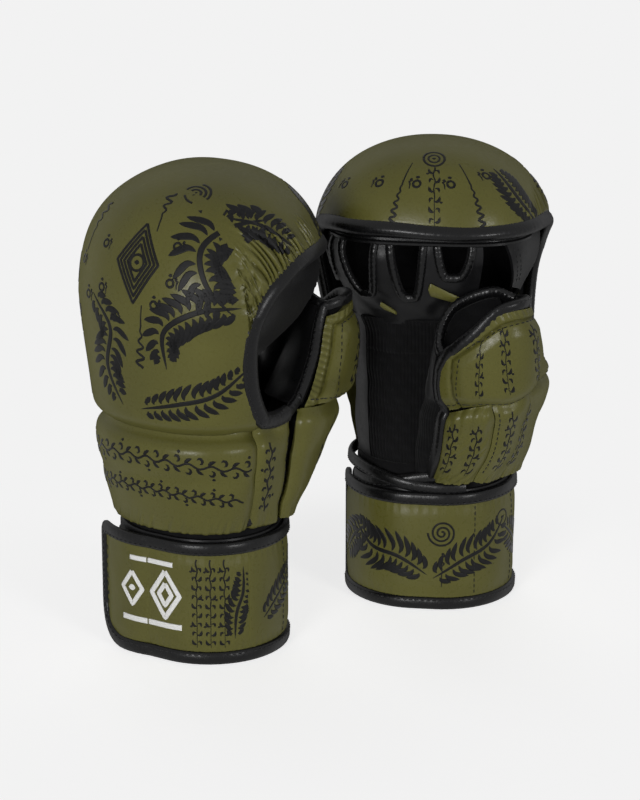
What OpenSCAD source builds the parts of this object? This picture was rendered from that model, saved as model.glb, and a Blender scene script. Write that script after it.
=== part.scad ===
// A pair of padded open-thumb sparring gloves, standing on their cuffs.
// Each glove is drawn once, as a left glove standing at its own origin:
// +X is the thumb side, -Y the back of the hand, +Y the palm and +Z the fingers.
// The right glove is the same drawing mirrored, turned and moved.

/* [Glove] */
// Height of a glove, from the table to the top of the knuckle pad
glove_h = 264; // [256:1:274]
// Half width of the knuckle pad where it is widest
knuckle_half_w = 66; // [62:1:69]
// How far the knuckle pad reaches behind the wrist's axis
knuckle_back = 61; // [57:1:65]
// How far the knuckle pad reaches in front of the wrist's axis
knuckle_front = 56; // [53:1:60]
// Height at which the knuckle pad is widest
knuckle_wide_z = 196; // [190:1:202]
// Height of the sewn tuck between the knuckle pad and the pad on the back of the hand
tuck_z = 130; // [126:1:133]
// Thickness of the leather of the covers
cover_t = 1.4; // [1:0.1:1.8]
// Thickness of the foam over the knuckles
knuckle_foam_t = 16; // [12:0.5:18]
// Thickness of the foam on the back of the hand
back_foam_t = 8; // [6:0.5:9]
// Thickness of the foam on the thumb
thumb_foam_t = 5; // [3:0.5:6]
// Thickness of the cloth lining
lining_t = 1.2; // [0.8:0.1:1.6]

/* [Palm and fingers] */
// Half width of the hand compartment at the palm
palm_half_w = 43; // [41:0.5:44]
// Depth of the palm in front of the wrist's axis
palm_front = 37; // [35:0.5:38]
// Thickness of the black leather panels
panel_t = 1.6; // [1:0.1:2]
// Thickness of the ribbed palm cloth
mesh_t = 1.8; // [1.2:0.1:2.2]
// Thickness of the bound edges around the finger openings
loop_binding_d = 4.4; // [3.6:0.2:5]
// Thickness of the long bound edge of the padding
rim_binding_d = 6.4; // [5.4:0.2:7]

/* [Cuff and strap] */
// Inside radius of the cuff's round ends
cuff_r = 34.5; // [33.5:0.5:35]
// Half length of the cuff's flat between its round ends
cuff_flat = 6; // [4:0.5:7]
// Thickness of the cuff's elastic lining
cuff_lining_t = 1.5; // [1:0.1:1.8]
// Thickness of the padded cuff wrap
cuff_wrap_t = 2.6; // [2:0.1:3]
// Height of the wrist strap with its bound edges
strap_h = 69; // [64:1:72]
// Thickness of the strap
strap_t = 2.6; // [2:0.1:3.2]
// Width of the strap's bound edge
strap_binding_w = 7.2; // [6:0.2:8]
// How much the strap's bound edge stands proud of its face
strap_binding_proud = 1.2; // [0.6:0.1:1.6]
// How far the strap's free end stands off the cuff
strap_end_lift = 11; // [8:0.5:14]
// Radius of the lower corner of the strap's free end
strap_corner_r = 24; // [16:1:28]
// Thickness of each hook-and-loop patch
patch_t = 0.8; // [0.5:0.1:1]

/* [Pair] */
// Distance between the axes of the two cuffs
pair_distance = 150; // [146:1:190]
// Direction from the left glove to the right one
pair_direction = 64; // [58:1:70]
// How far the right glove is turned
pair_turn = 205; // [198:1:212]
// Gap left between pieces that lie on each other
seat_gap = 0.3; // [0.2:0.05:0.4]

/* [Hidden] */
PIECES = [
    "knuckle_cover", "knuckle_foam", "knuckle_lining", "back_cover", "back_foam", "hand_lining",
    "side_strip", "thumb_tip_cover", "thumb_tip_foam", "thumb_base_covers", "thumb_base_foams",
    "thumb_inner_panel", "thumb_tip_binding", "edge_bindings", "side_panels", "finger_panel",
    "finger_loops", "palm_accents", "palm_mesh", "cuff_lining", "cuff_wrap", "cuff_binding",
    "loop_patch", "strap_base", "strap_base_bindings", "strap_arm", "strap_arm_bindings",
    "strap_end", "strap_end_bindings", "hook_patch"
];
SIDES = ["left", "right"];
$fn = 64;

olive = "#5f5c32";
black = "#1d1d1e";
foam_grey = "#a9a69c";
cloth_black = "#151516";

// ---------- Small mathematics ----------

function unit(v) = v / norm(v);
function mix(a, b, t) = a + (b - a) * t;
function ease(t) = let (u = min(1, max(0, t))) u * u * (3 - 2 * u);
function bell(x, width) = exp(-pow(x / width, 2));
function flat_list(rows) = [for (row = rows) for (item = row) item];
function polar(angle, r) = [r * cos(angle), r * sin(angle)];
function steps(count) = [for (i = [0 : count]) i / count];

// Smooth curve through four points in a row, between the middle two
function hermite(p0, p1, p2, p3, t) =
    0.5 * (2 * p1 + (p2 - p0) * t + (2 * p0 - 5 * p1 + 4 * p2 - p3) * t * t
        + (3 * p1 - p0 - 3 * p2 + p3) * t * t * t);
// Smooth row of a table of stations at a value of their first number
function station_index(table, key, i = 0) =
    i >= len(table) - 2 || key < table[i + 1][0] ? i : station_index(table, key, i + 1);
function by_station(table, key) = let (
    n = len(table) - 1,
    k = min(table[n][0], max(table[0][0], key)),
    i = station_index(table, k),
    t = (k - table[i][0]) / (table[i + 1][0] - table[i][0])
) hermite(table[max(0, i - 1)], table[i], table[i + 1], table[min(n, i + 2)], t);

// Radius of a rounded oval at an angle, with its own depth at the back and at the front
function oval_r(angle, half_w, back, front, squareness) = let (depth = sin(angle) > 0 ? front : back)
    pow(pow(abs(cos(angle)) / half_w, squareness) + pow(abs(sin(angle)) / depth, squareness),
        -1 / squareness);

// ---------- Heights that several pieces share ----------

hem_z = 74;             // lower edge of the pads, just above the strap
cuff_top_z = 76;        // top of the cuff's wrap
hand_bottom_z = cuff_top_z + 10;
front_rim_z = 223;      // lower edge of the knuckle pad over the fingers
loop_top_z = 213;       // the finger loops hang from here
fold_z = 149;           // fold across the palm cloth
palm_top_z = 167;       // top of the palm cloth

// ---------- Form of the knuckle pad and of the pad on the back of the hand ----------

pad_squareness = 2.25;
pad_lean = 10;          // the top of the pad leans this far towards the palm
pad_taper = 0.3;       // share of its width that the pad loses down to the cuff
tuck_depth = 4.5;
tuck_width = 4.5;
back_pad_crown = 2;

function pad_scale(z) = z > knuckle_wide_z
    ? pow(max(0, 1 - pow((z - knuckle_wide_z) / (glove_h - knuckle_wide_z), 2.6)), 1 / 2.15)
    : 1 - pad_taper * pow((knuckle_wide_z - z) / (knuckle_wide_z - cuff_top_z), 1.1);
function pad_swell(z) = let (s = min(1, max(0, (z - hem_z) / (tuck_z - hem_z))))
    back_pad_crown * sin(180 * s) - tuck_depth * bell(z - tuck_z, tuck_width);

// Point of the padding at an angle and a height, a depth below its surface
function pad_at(angle, z, depth = 0) = let (
    k = pad_scale(z),
    swell = pad_swell(z),
    r = oval_r(angle, max(0.01, (knuckle_half_w - depth) * k + swell),
        max(0.01, (knuckle_back - depth) * k + swell),
        max(0.01, (knuckle_front - depth) * k), pad_squareness),
    p = polar(angle, r)
) [p.x, p.y + pad_lean * max(0, z - tuck_z) / (glove_h - tuck_z), z];

// Edge of the knuckle pad as [angle, height]: from the little finger's side over the
// finger openings, down the thumb's side, and then along the tuck on the back
pad_edge_gap = 0.5;
rim_edge = [
    [192, tuck_z + pad_edge_gap], [188, 148], [185, 168], [181, 187], [175, 205], [165, 217],
    [150, front_rim_z - 1], [132, front_rim_z], [110, front_rim_z + 1], [88, front_rim_z],
    [66, front_rim_z - 1], [46, front_rim_z - 1], [28, front_rim_z - 1], [11, front_rim_z - 1],
    [-4, 219.5], [-15, 214.5], [-24, 207], [-30, 196], [-32.5, 183], [-31.5, 167], [-28, 152],
    [-21, 139]
];
tuck_edge = [for (angle = [-24 : -17 : -160]) [angle, tuck_z + pad_edge_gap]];
knuckle_edge = concat(rim_edge, tuck_edge);
edge_count = len(knuckle_edge);

// The knuckle pad is drawn as a flat disc round its top, and lifted back onto the form
function disc_xy(e) = polar(e[0], sqrt((glove_h - e[1]) / (glove_h - tuck_z)));
disc_centre = [-0.1, -0.2];
edge_roll = 3;          // how far the cover curls in at its edge
foam_edge_t = 2.6;      // thickness of the foam at the edge of the pad
edge_clear = rim_binding_d / 2 + 1.5;   // the covers start this far from the bound edge's middle
tuck_clear = 0.2;                       // and this far from the tuck
knuckle_rows = [0, 0.06, 0.14, 0.27, 0.44, 0.63, 0.82];
function on_disc(q, depth = 0) = pad_at(atan2(q.y, q.x), glove_h - (glove_h - tuck_z) * (q * q), depth);
function edge_disc(i) = disc_xy(knuckle_edge[(i + edge_count) % edge_count]);
// Where the covers start: square to the edge, a clear distance in from it
edge_start = [for (i = [0 : edge_count - 1]) let (
    q = edge_disc(i),
    t = unit(edge_disc(i + 1) - edge_disc(i - 1)),
    lifted_step = function(way) on_disc(q + 0.03 * way) - on_disc(q),
    ahead = lifted_step(t),
    across = [t.y, -t.x],
    inward = across - t * (lifted_step(across) * ahead) / (ahead * ahead),
    mm = norm(lifted_step(inward)) / 0.03
) q + inward * (i < len(rim_edge) ? edge_clear : tuck_clear) / mm];
function knuckle_at(i, t, depth) = let (p = on_disc(mix(edge_start[i], disc_centre, t), depth))
    [p.x, p.y, p.z - depth * ease((p.z - front_rim_z) / (glove_h - front_rim_z))];
function knuckle_layer(edge_depth, inside_depth) = [
    for (t = knuckle_rows) let (
        depth = mix(edge_depth, inside_depth, ease(t / 0.32)) + edge_roll * pow(max(0, 1 - t / 0.07), 2)
    ) [for (i = [0 : edge_count - 1]) knuckle_at(i, t, depth)]
];

// ---------- Form of the thumb ----------

// Stations of the thumb: height, middle x and y, half width, half depth
thumb_stations = [
    [74, 17, 16, 24, 26], [95, 22.5, 27, 27, 27], [112, 26, 35, 27.5, 25.5], [124, 29, 42.5, 28, 23],
    [136, 31.5, 49.5, 29, 20], [152, 33, 55, 28.5, 17.5], [168, 34, 58, 26.5, 16], [190, 34, 60, 22, 13.5]
];
// Back edge of the thumb's olive side: height, angle round the thumb, distance from its middle
thumb_back = [
    [74, -23, 36], [86, -33, 38], [112, -47, 42.5], [137, -61, 52], [140, -60, 49], [148, -57, 38],
    [160, -53, 30.5], [172, -49, 24.5], [190, -38, 19.5]
];
// Palm edge of the thumb's olive side: height, angle round the thumb
thumb_front = [[74, 128], [92, 126], [106, 128], [118, 134], [130, 147], [140, 156], [160, 158], [190, 158]];
thumb_blend = 60;       // angle over which the thumb's side meets its back edge
thumb_seam_stations = [[-65, 139], [-30, 137], [10, 133], [40, 128.5], [90, 128], [160, 122]];
thumb_seam_gap = 0.8;
thumb_seam_depth = 3.5;
thumb_seam_width = 5;
thumb_mouth_stations = [
    [-60, 181], [-40, 183], [-10, 186], [20, 186.5], [50, 184.5], [80, 179], [105, 173], [130, 166],
    [158, 157], [180, 168], [205, 180], [245, 186], [290, 188], [322, 184]
];
function thumb_seam_z(angle) = by_station(thumb_seam_stations, angle)[1];
function thumb_mouth_z(angle) = by_station(thumb_mouth_stations, angle)[1];

// Point of the thumb's sleeve at an angle and a height, a depth below its surface
function thumb_at(angle, z, depth = 0) = let (
    s = by_station(thumb_stations, z),
    back = by_station(thumb_back, z),
    seam = thumb_seam_depth * bell(z - thumb_seam_z(min(160, angle)), thumb_seam_width)
        * (angle < 160 ? 1 : 0),
    turn = angle > 180 ? back[1] + 360 - angle : angle - back[1],
    reach = back[2] - oval_r(back[1], s[3], s[4], s[4], 2.2),
    r = oval_r(angle, s[3], s[4], s[4], 2.2) + reach * (1 - ease(turn / thumb_blend)) - seam - depth
) [s[1] + polar(angle, r).x, s[2] + polar(angle, r).y, z];
function thumb_angle(u, z) = mix(by_station(thumb_back, z)[1], by_station(thumb_front, z)[1], u);

// ---------- Form of the black hand compartment ----------

// Stations of the compartment: height, half width, depth of the palm, squareness
hand_stations = [
    [74, palm_half_w - 3.5, palm_front - 2, 2.3], [98, palm_half_w - 0.5, palm_front - 1, 2.3],
    [130, palm_half_w, palm_front - 0.5, 2.4], [160, palm_half_w + 1, palm_front, 2.6],
    [172, palm_half_w + 3, palm_front + 3, 2.8], [184, palm_half_w + 8, palm_front + 9, 3.2],
    [196, palm_half_w + 13, palm_front + 13, 3.4], [208, palm_half_w + 15, palm_front + 15, 3.4],
    [220, palm_half_w + 12, palm_front + 14, 3]
];
function hand_at(angle, z, depth = 0) = let (
    s = by_station(hand_stations, z),
    r = oval_r(angle, s[1] - depth, s[2] - depth, s[2] - depth, s[3])
) [polar(angle, r).x, polar(angle, r).y, z];

// Finger openings: angle of the middle, height of the lowest point
finger_openings = [[73, 195], [101, 182], [129, 183], [156, 188]];
finger_opening_half = 10;   // half width of an opening, as an angle
function opening_z(angle, opening, margin) = let (
    u = min(1, abs(angle - opening[0]) / (finger_opening_half + margin)),
    low = opening[1] - margin
) low + (loop_top_z - low) * pow(u, 4);
function panel_top_z(angle, margin) = min([for (o = finger_openings)
    abs(angle - o[0]) < finger_opening_half + margin ? opening_z(angle, o, margin) : loop_top_z]);

// ---------- Solids from grids of points ----------

// Closed solid between two grids of points with as many rows and columns each
module slab(outer, inner) {
    rows = len(outer);
    cols = len(outer[0]);
    n = rows * cols;
    skin = [for (r = [0 : rows - 2]) for (c = [0 : cols - 2]) let (a = r * cols + c) each
        [[a, a + cols, a + cols + 1], [a, a + cols + 1, a + 1]]];
    border = concat(
        [for (c = [0 : cols - 1]) c],
        [for (r = [1 : rows - 1]) r * cols + cols - 1],
        [for (c = [cols - 2 : -1 : 0]) (rows - 1) * cols + c],
        [for (r = [rows - 2 : -1 : 1]) r * cols]);
    m = len(border);
    polyhedron(
        points = concat(flat_list(outer), flat_list(inner)),
        faces = concat(
            skin,
            [for (f = skin) [f[2] + n, f[1] + n, f[0] + n]],
            [for (k = [0 : m - 1]) let (a = border[k], b = border[(k + 1) % m]) each
                [[a, b, b + n], [a, b + n, a + n]]]),
        convexity = 6);
}

// Closed solid between two domes, each a list of closed rings and a top point
module dome_slab(outer, outer_top, inner, inner_top) {
    rows = len(outer);
    cols = len(outer[0]);
    n = rows * cols;
    skin = concat(
        [for (r = [0 : rows - 2]) for (c = [0 : cols - 1]) let (
            a = r * cols + c, b = r * cols + (c + 1) % cols
        ) each [[a, b, b + cols], [a, b + cols, a + cols]]],
        [for (c = [0 : cols - 1]) [(rows - 1) * cols + c, (rows - 1) * cols + (c + 1) % cols, n]]);
    polyhedron(
        points = concat(flat_list(outer), [outer_top], flat_list(inner), [inner_top]),
        faces = concat(
            skin,
            [for (f = skin) [f[2] + n + 1, f[1] + n + 1, f[0] + n + 1]],
            [for (c = [0 : cols - 1]) let (a = c, b = (c + 1) % cols) each
                [[b, a, a + n + 1], [b, a + n + 1, b + n + 1]]]),
        convexity = 8);
}

// Round cord through points; normals lie across it and keep its rings from twisting
module cord(points, normals, d, sides = 6) {
    last = len(points) - 1;
    rings = [for (i = [0 : last]) let (
        t = unit(points[min(last, i + 1)] - points[max(0, i - 1)]),
        n = unit(normals[i] - (normals[i] * t) * t),
        b = cross(t, n)
    ) [for (k = [0 : sides - 1])
        points[i] + d / 2 * (cos(360 * k / sides) * n + sin(360 * k / sides) * b)]];
    polyhedron(
        points = flat_list(rings),
        faces = concat(
            [[for (k = [0 : sides - 1]) k]],
            [for (i = [0 : last - 1]) for (k = [0 : sides - 1]) let (
                a = i * sides + k, b = i * sides + (k + 1) % sides
            ) each [[b, a, b + sides], [b + sides, a, a + sides]]],
            [[for (k = [sides - 1 : -1 : 0]) last * sides + k]]),
        convexity = 8);
}
function outward(points) = [for (p = points) [p.x, p.y, 0]];

// Band round the cuff from one angle to another, between two radii of the round ends
module band_arc(r, t, z0, z1, a0, a1)
    translate([cos((a0 + a1) / 2) > 0 ? cuff_flat : -cuff_flat, 0, z0])
        rotate([0, 0, a0])
            rotate_extrude(angle = a1 - a0)
                translate([r, 0])
                    square([t, z1 - z0]);
module band_flat(r, t, z0, z1, side)
    translate([-cuff_flat, side > 0 ? r : -r - t, z0])
        cube([2 * cuff_flat, t, z1 - z0]);
module band_ring(r, t, z0, z1) {
    band_arc(r, t, z0, z1, -90, 90);
    band_arc(r, t, z0, z1, 90, 270);
    band_flat(r, t, z0, z1, 1);
    band_flat(r, t, z0, z1, -1);
}

// ---------- Padding over the knuckles and the back of the hand ----------

foam_depth = cover_t + 2 * seat_gap;
knuckle_lining_depth = foam_depth + knuckle_foam_t + seat_gap;
edge_lining_depth = foam_depth + foam_edge_t + seat_gap;

module knuckle_layer_solid(edge_depth, inside_depth, t, inside_t) {
    outer = knuckle_layer(edge_depth, inside_depth);
    inner = knuckle_layer(edge_depth + t, inside_depth + inside_t);
    dome_slab(outer, knuckle_at(0, 1, inside_depth), inner, knuckle_at(0, 1, inside_depth + inside_t));
}
module knuckle_cover() color(olive) knuckle_layer_solid(0, 0, cover_t, cover_t);
module knuckle_foam() color(foam_grey)
    knuckle_layer_solid(foam_depth, foam_depth, foam_edge_t, knuckle_foam_t);
module knuckle_lining() color(cloth_black)
    knuckle_layer_solid(edge_lining_depth, knuckle_lining_depth, lining_t, lining_t);

back_pad_start = -22;
back_pad_end = -164;
back_foam_bottom_z = hand_bottom_z + 2;
function pad_grid(a0, a1, z0, z1, cols, rows, depth) = [
    for (v = steps(rows)) [for (u = steps(cols)) pad_at(mix(a0, a1, u), mix(z0, z1, v), depth)]];
module back_cover() color(olive)
    slab(pad_grid(back_pad_end, back_pad_start, hem_z, tuck_z - pad_edge_gap, 12, 8, 0),
        pad_grid(back_pad_end, back_pad_start, hem_z, tuck_z - pad_edge_gap, 12, 8, cover_t));
module back_foam() color(foam_grey)
    slab(pad_grid(back_pad_end + 4, back_pad_start - 4, back_foam_bottom_z, tuck_z - 5, 10, 4, foam_depth),
        pad_grid(back_pad_end + 4, back_pad_start - 4, back_foam_bottom_z, tuck_z - 5, 10, 4,
            foam_depth + back_foam_t));

strip_top_z = 132.5;
module side_strip() color(olive) {
    strip = function(depth) [for (v = steps(6)) let (z = mix(hem_z, strip_top_z, v))
        [for (u = steps(3)) pad_at(mix(back_pad_start + 1.2, strip_end_angle(z), u), z, depth)]];
    slab(strip(0), strip(cover_t));
}
// Angle round the wrist where the strip meets the thumb, a little short of the thumb's seam
function strip_end_angle(z) = let (
    s = by_station(thumb_stations, z),
    b = by_station(thumb_back, z),
    p = [s[1], s[2]] + polar(b[1], b[2])
) atan2(p.y, p.x) - 1;

// ---------- Thumb ----------

above_seam = function(angle) thumb_seam_z(angle) + thumb_seam_gap;
below_seam = function(angle) thumb_seam_z(angle) - thumb_seam_gap;
to_mouth = function(angle) thumb_mouth_z(angle) - 4.4;
from_hem = function(angle) hem_z + 7;
// Grid on the olive side of the thumb; u goes from its back edge to its palm edge
function thumb_grid(u0, u1, low, high, cols, rows, depth) = [
    for (v = steps(rows)) [for (u = steps(cols)) let (
        side = mix(u0, u1, u),
        angle = thumb_angle(side, 140),
        z = mix(low(angle), high(angle), v)
    ) thumb_at(thumb_angle(side, z), z, depth)]];
thumb_edge_u = 0.045;       // share of the side that its bound edges take up
thumb_foam_u = 0.09;
thumb_foam_depth = foam_depth + 0.9;
module thumb_tip_cover() color(olive)
    slab(thumb_grid(thumb_edge_u, 1 - thumb_edge_u, above_seam, to_mouth, 12, 6, 0),
        thumb_grid(thumb_edge_u, 1 - thumb_edge_u, above_seam, to_mouth, 12, 6, cover_t));
module thumb_tip_foam() color(foam_grey) {
    low = function(angle) thumb_seam_z(angle) + 5;
    high = function(angle) thumb_mouth_z(angle) - 7;
    slab(thumb_grid(thumb_foam_u, 1 - thumb_foam_u, low, high, 10, 4, thumb_foam_depth),
        thumb_grid(thumb_foam_u, 1 - thumb_foam_u, low, high, 10, 4,
            thumb_foam_depth + thumb_foam_t));
}
// Two pads lie side by side below the thumb's seam
heel_seam_u = 0.6;
heel_seam_gap_u = 0.008;
base_pads = [
    [thumb_edge_u, heel_seam_u - heel_seam_gap_u, 7],
    [heel_seam_u + heel_seam_gap_u, 1 - thumb_edge_u, 5]
];
module thumb_base_covers() color(olive)
    for (pad = base_pads)
        slab(thumb_grid(pad[0], pad[1], from_hem, below_seam, pad[2], 6, 0),
            thumb_grid(pad[0], pad[1], from_hem, below_seam, pad[2], 6, cover_t));
module thumb_base_foams() color(foam_grey) {
    low = function(angle) back_foam_bottom_z;
    high = function(angle) thumb_seam_z(angle) - 5;
    for (pad = base_pads)
        slab(thumb_grid(pad[0] + 0.04, pad[1] - 0.04, low, high, pad[2] - 1, 4, thumb_foam_depth),
            thumb_grid(pad[0] + 0.04, pad[1] - 0.04, low, high, pad[2] - 1, 4,
                thumb_foam_depth + thumb_foam_t));
}
// Black leather on the hidden side of the thumb, from its palm edge round to its back edge
inner_panel_low_z = 128;
function thumb_inner_angle(u, z) = mix(by_station(thumb_front, z)[1], by_station(thumb_back, z)[1] + 360, u);
function thumb_inner_grid(depth) = [
    for (v = steps(5)) [for (u = steps(12)) let (
        side = mix(0.05, 0.95, u),
        angle = thumb_inner_angle(side, 170),
        z = mix(mix(inner_panel_low_z, thumb_seam_z(-60) + 2, ease(side)), thumb_mouth_z(angle) - 3.4, v)
    ) thumb_at(thumb_inner_angle(side, z), z, depth)]];
module thumb_inner_panel() color(black) slab(thumb_inner_grid(0), thumb_inner_grid(panel_t));

binding_depth = rim_binding_d / 2 - 0.4;    // the bound edge stands 0.4 mm proud of the cover
mouth_binding_d = rim_binding_d - 1.6;
function thumb_edge_points(side, z0, z1, count) = [for (t = steps(count)) let (z = mix(z0, z1, t))
    thumb_at(thumb_angle(side, z), z, binding_depth)];
function thumb_mouth_points(a0, a1, count) = [for (t = steps(count)) let (angle = mix(a0, a1, t))
    thumb_at(angle, thumb_mouth_z(angle), mouth_binding_d / 2)];
module thumb_tip_binding() color(black) {
    edge = concat(
        thumb_edge_points(0, thumb_seam_z(-60) + 2, 176, 7),
        thumb_mouth_points(-40, 152, 14),
        thumb_edge_points(1, 149, thumb_seam_z(150) + 2, 4));
    middle = [by_station(thumb_stations, 160)[1], by_station(thumb_stations, 160)[2], 0];
    cord(edge, outward([for (p = edge) p - middle]), mouth_binding_d);
    inner = thumb_mouth_points(166, 308, 10);
    cord(inner, outward([for (p = inner) p - middle]), mouth_binding_d);
}

// ---------- Bound edge of the padding ----------

// A list of [angle, height] with a rounded point between each two
function finer(list) = [for (i = [0 : len(list) - 2]) for (t = [0, 0.5])
    hermite(list[max(0, i - 1)], list[i], list[i + 1], list[min(len(list) - 1, i + 2)], t)];
module edge_bindings() color(black) {
    strip_top = [[-15, 136.5], [-6, 136], [1, 136.5]];
    rim = [for (e = finer(concat(rim_edge, strip_top))) pad_at(e[0], e[1], binding_depth)];
    cord(rim, outward(rim), rim_binding_d);
    palm = thumb_edge_points(1, thumb_seam_z(150) - 2, hem_z + 9, 7);
    middle = [by_station(thumb_stations, 100)[1], by_station(thumb_stations, 100)[2], 0];
    cord(palm, outward([for (p = palm) p - middle]), mouth_binding_d);
}

// ---------- Black panels, finger openings and palm ----------

index_panel_back = [[166, -20], [183, -21], [196, -18], [207, -11], [214, -2]];
index_panel_front = [[166, 20], [187, 36], [214, 46]];
index_panel_low_z = [166, 187];
outer_side_start = 142;
outer_side_end = 177;
outer_side_top_z = palm_top_z;
module side_panels() color(black) {
    index_panel = function(depth) [for (v = steps(5)) [for (u = steps(8)) let (
        z = mix(mix(index_panel_low_z[0], index_panel_low_z[1], u), loop_top_z - 1, v)
    ) hand_at(mix(by_station(index_panel_back, z)[1], by_station(index_panel_front, z)[1], u), z, depth)]];
    slab(index_panel(0), index_panel(panel_t));
    outer_panel = function(depth) [for (v = steps(6)) let (z = mix(hand_bottom_z, outer_side_top_z, v))
        [for (u = steps(4)) hand_at(mix(outer_side_start, outer_side_end, u), z, depth)]];
    slab(outer_panel(0), outer_panel(panel_t));
}

finger_panel_start = 58;
finger_panel_end = 166;
loop_margin = 3;            // the panel keeps this far below the bound edge of an opening
module finger_panel() color(black) {
    bends = [-1, -0.97, -0.85, -0.5, 0, 0.5, 0.85, 0.97, 1];
    angles = concat([finger_panel_start], [for (o = finger_openings) for (b = bends)
        o[0] + b * (finger_opening_half + loop_margin)], [finger_panel_end + 3.2]);
    panel = function(depth) [for (v = steps(3)) [for (a = angles)
        let (z = mix(palm_top_z + 1.5, panel_top_z(a, loop_margin), v)) hand_at(a, z, depth)]];
    slab(panel(0), panel(panel_t));
}
module finger_loops() color(black) {
    for (o = finger_openings) {
        u = [-1, -0.99, -0.93, -0.8, -0.5, 0, 0.5, 0.8, 0.93, 0.99, 1];
        points = [for (b = u) let (a = o[0] + b * finger_opening_half)
            hand_at(a, opening_z(a, o, 0), loop_binding_d / 2 - 1.2)];
        cord(points, outward(points), loop_binding_d);
    }
    // Tape that carries the loops, under the edge of the padding
    tape_z = [loop_top_z + 0.8, loop_top_z + 5];
    tape = function(depth) [for (z = tape_z) [for (u = steps(16))
        hand_at(mix(finger_panel_start - 30, finger_panel_end - 18, u), z, depth)]];
    slab(tape(-0.4), tape(loop_binding_d - 1.6));
}
// Olive darts on the finger panel, from one [angle, height] to another, with a width
accent_t = 1;
accents = [[112, 172, 121, 176.5, 5], [63, 180, 88, 188.5, 8]];
module palm_accents() color(olive)
    for (dart = accents) {
        strip = function(depth) [for (v = steps(2)) [for (u = steps(4)) let (
            half = dart[4] / 2 * (0.4 + 0.6 * u),
            z = mix(dart[1], dart[3], u) + mix(-half, half, v)
        ) hand_at(mix(dart[0], dart[2], u), z, depth)]];
        slab(strip(-2 * seat_gap - accent_t), strip(-2 * seat_gap));
    }

// Right-hand border of the palm cloth, where the thumb opens into the hand: height, angle
mesh_border = [[74, 98], [92, 95], [106, 92], [124, 88], [149, 80], [167, 66]];
module palm_mesh() color(cloth_black) {
    cloth = function(z0, z1, depth) [for (v = steps(4)) let (z = mix(z0, z1, v))
        [for (u = steps(8)) hand_at(mix(by_station(mesh_border, z)[1], outer_side_start - 1.5, u), z, depth)]];
    slab(cloth(hand_bottom_z - 2, fold_z - 0.7, 0), cloth(hand_bottom_z - 2, fold_z - 0.7, mesh_t));
    slab(cloth(fold_z + 0.7, palm_top_z, 0), cloth(fold_z + 0.7, palm_top_z, mesh_t));
}
// Lining of the hand, open towards the thumb
hand_lining_start = 82;
hand_lining_end = 330;
module hand_lining() color(cloth_black) {
    tube = function(depth) [for (v = steps(5)) let (z = mix(hand_bottom_z, palm_top_z - 1, v))
        [for (u = steps(20)) hand_at(mix(max(hand_lining_start, by_station(mesh_border, z)[1]),
            hand_lining_end, u), z, depth)]];
    slab(tube(mesh_t + 3 * seat_gap), tube(mesh_t + 3 * seat_gap + lining_t));
}

// ---------- Cuff and wrist strap ----------

wrap_r = cuff_r + cuff_lining_t + seat_gap;
strap_r = wrap_r + cuff_wrap_t + seat_gap;
strap_z0 = 0.5;                     // the strap hangs clear of the table
strap_face_z0 = strap_z0 + strap_binding_w + seat_gap;
strap_face_z1 = strap_z0 + strap_h - strap_binding_w - seat_gap;
strap_outer_r = strap_r + strap_t + strap_binding_proud;
strap_start_angle = 178;            // on the little finger's side of the palm
arm_angle = -26;                    // the strap leaves the cuff here and peels off
end_angle = 212;                    // the strap's free end, on the back of the hand
joint_gap_angle = 0.6;
lining_rise = 8;                    // the lining stands this far above the wrap

module cuff_lining() color(cloth_black) band_ring(cuff_r, cuff_lining_t, 1, cuff_top_z + lining_rise);
module cuff_wrap() color(black) band_ring(wrap_r, cuff_wrap_t, 0, cuff_top_z);
module cuff_binding() color(black)
    band_ring(wrap_r, cuff_wrap_t + 0.6, cuff_top_z + seat_gap, cuff_top_z + 4);
module loop_patch() color(cloth_black)
    band_arc(strap_r, patch_t, strap_face_z0, strap_face_z1, 208, 250);

// The fixed part of the strap is a whole ring less the side that faces the back of the hand
back_side = let (far = 3 * strap_r) concat(
    [[-cuff_flat, 0], [-cuff_flat, 0] + polar(strap_start_angle, far), [-far, -far], [far, -far]],
    [[cuff_flat, 0] + polar(arm_angle, far), [cuff_flat, 0]]);
module strap_base_band(t, z0, z1) difference() {
    band_ring(strap_r, t, z0, z1);
    translate([0, 0, z0 - 1])
        linear_extrude(z1 - z0 + 2)
            polygon(back_side);
}
module strap_arm_band(t, z0, z1) {
    band_arc(strap_r, t, z0, z1, -90, arm_angle - joint_gap_angle);
    band_flat(strap_r, t, z0, z1, -1);
}
module in_pairs() for (z0 = [strap_z0, strap_z0 + strap_h - strap_binding_w]) translate([0, 0, z0]) children();
module strap_base() color(olive) strap_base_band(strap_t, strap_face_z0, strap_face_z1);
module strap_base_bindings() color(black)
    in_pairs() strap_base_band(strap_t + strap_binding_proud, 0, strap_binding_w);
module strap_arm() color(olive) strap_arm_band(strap_t, strap_face_z0, strap_face_z1);
module strap_arm_bindings() color(black)
    in_pairs() strap_arm_band(strap_t + strap_binding_proud, 0, strap_binding_w);

// The free end turns a little about its outer edge, so that it stands off the cuff
module lifted()
    translate([-cuff_flat, -strap_outer_r])
        rotate([0, 0, strap_end_lift])
            translate([cuff_flat, strap_outer_r])
                children();
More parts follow.
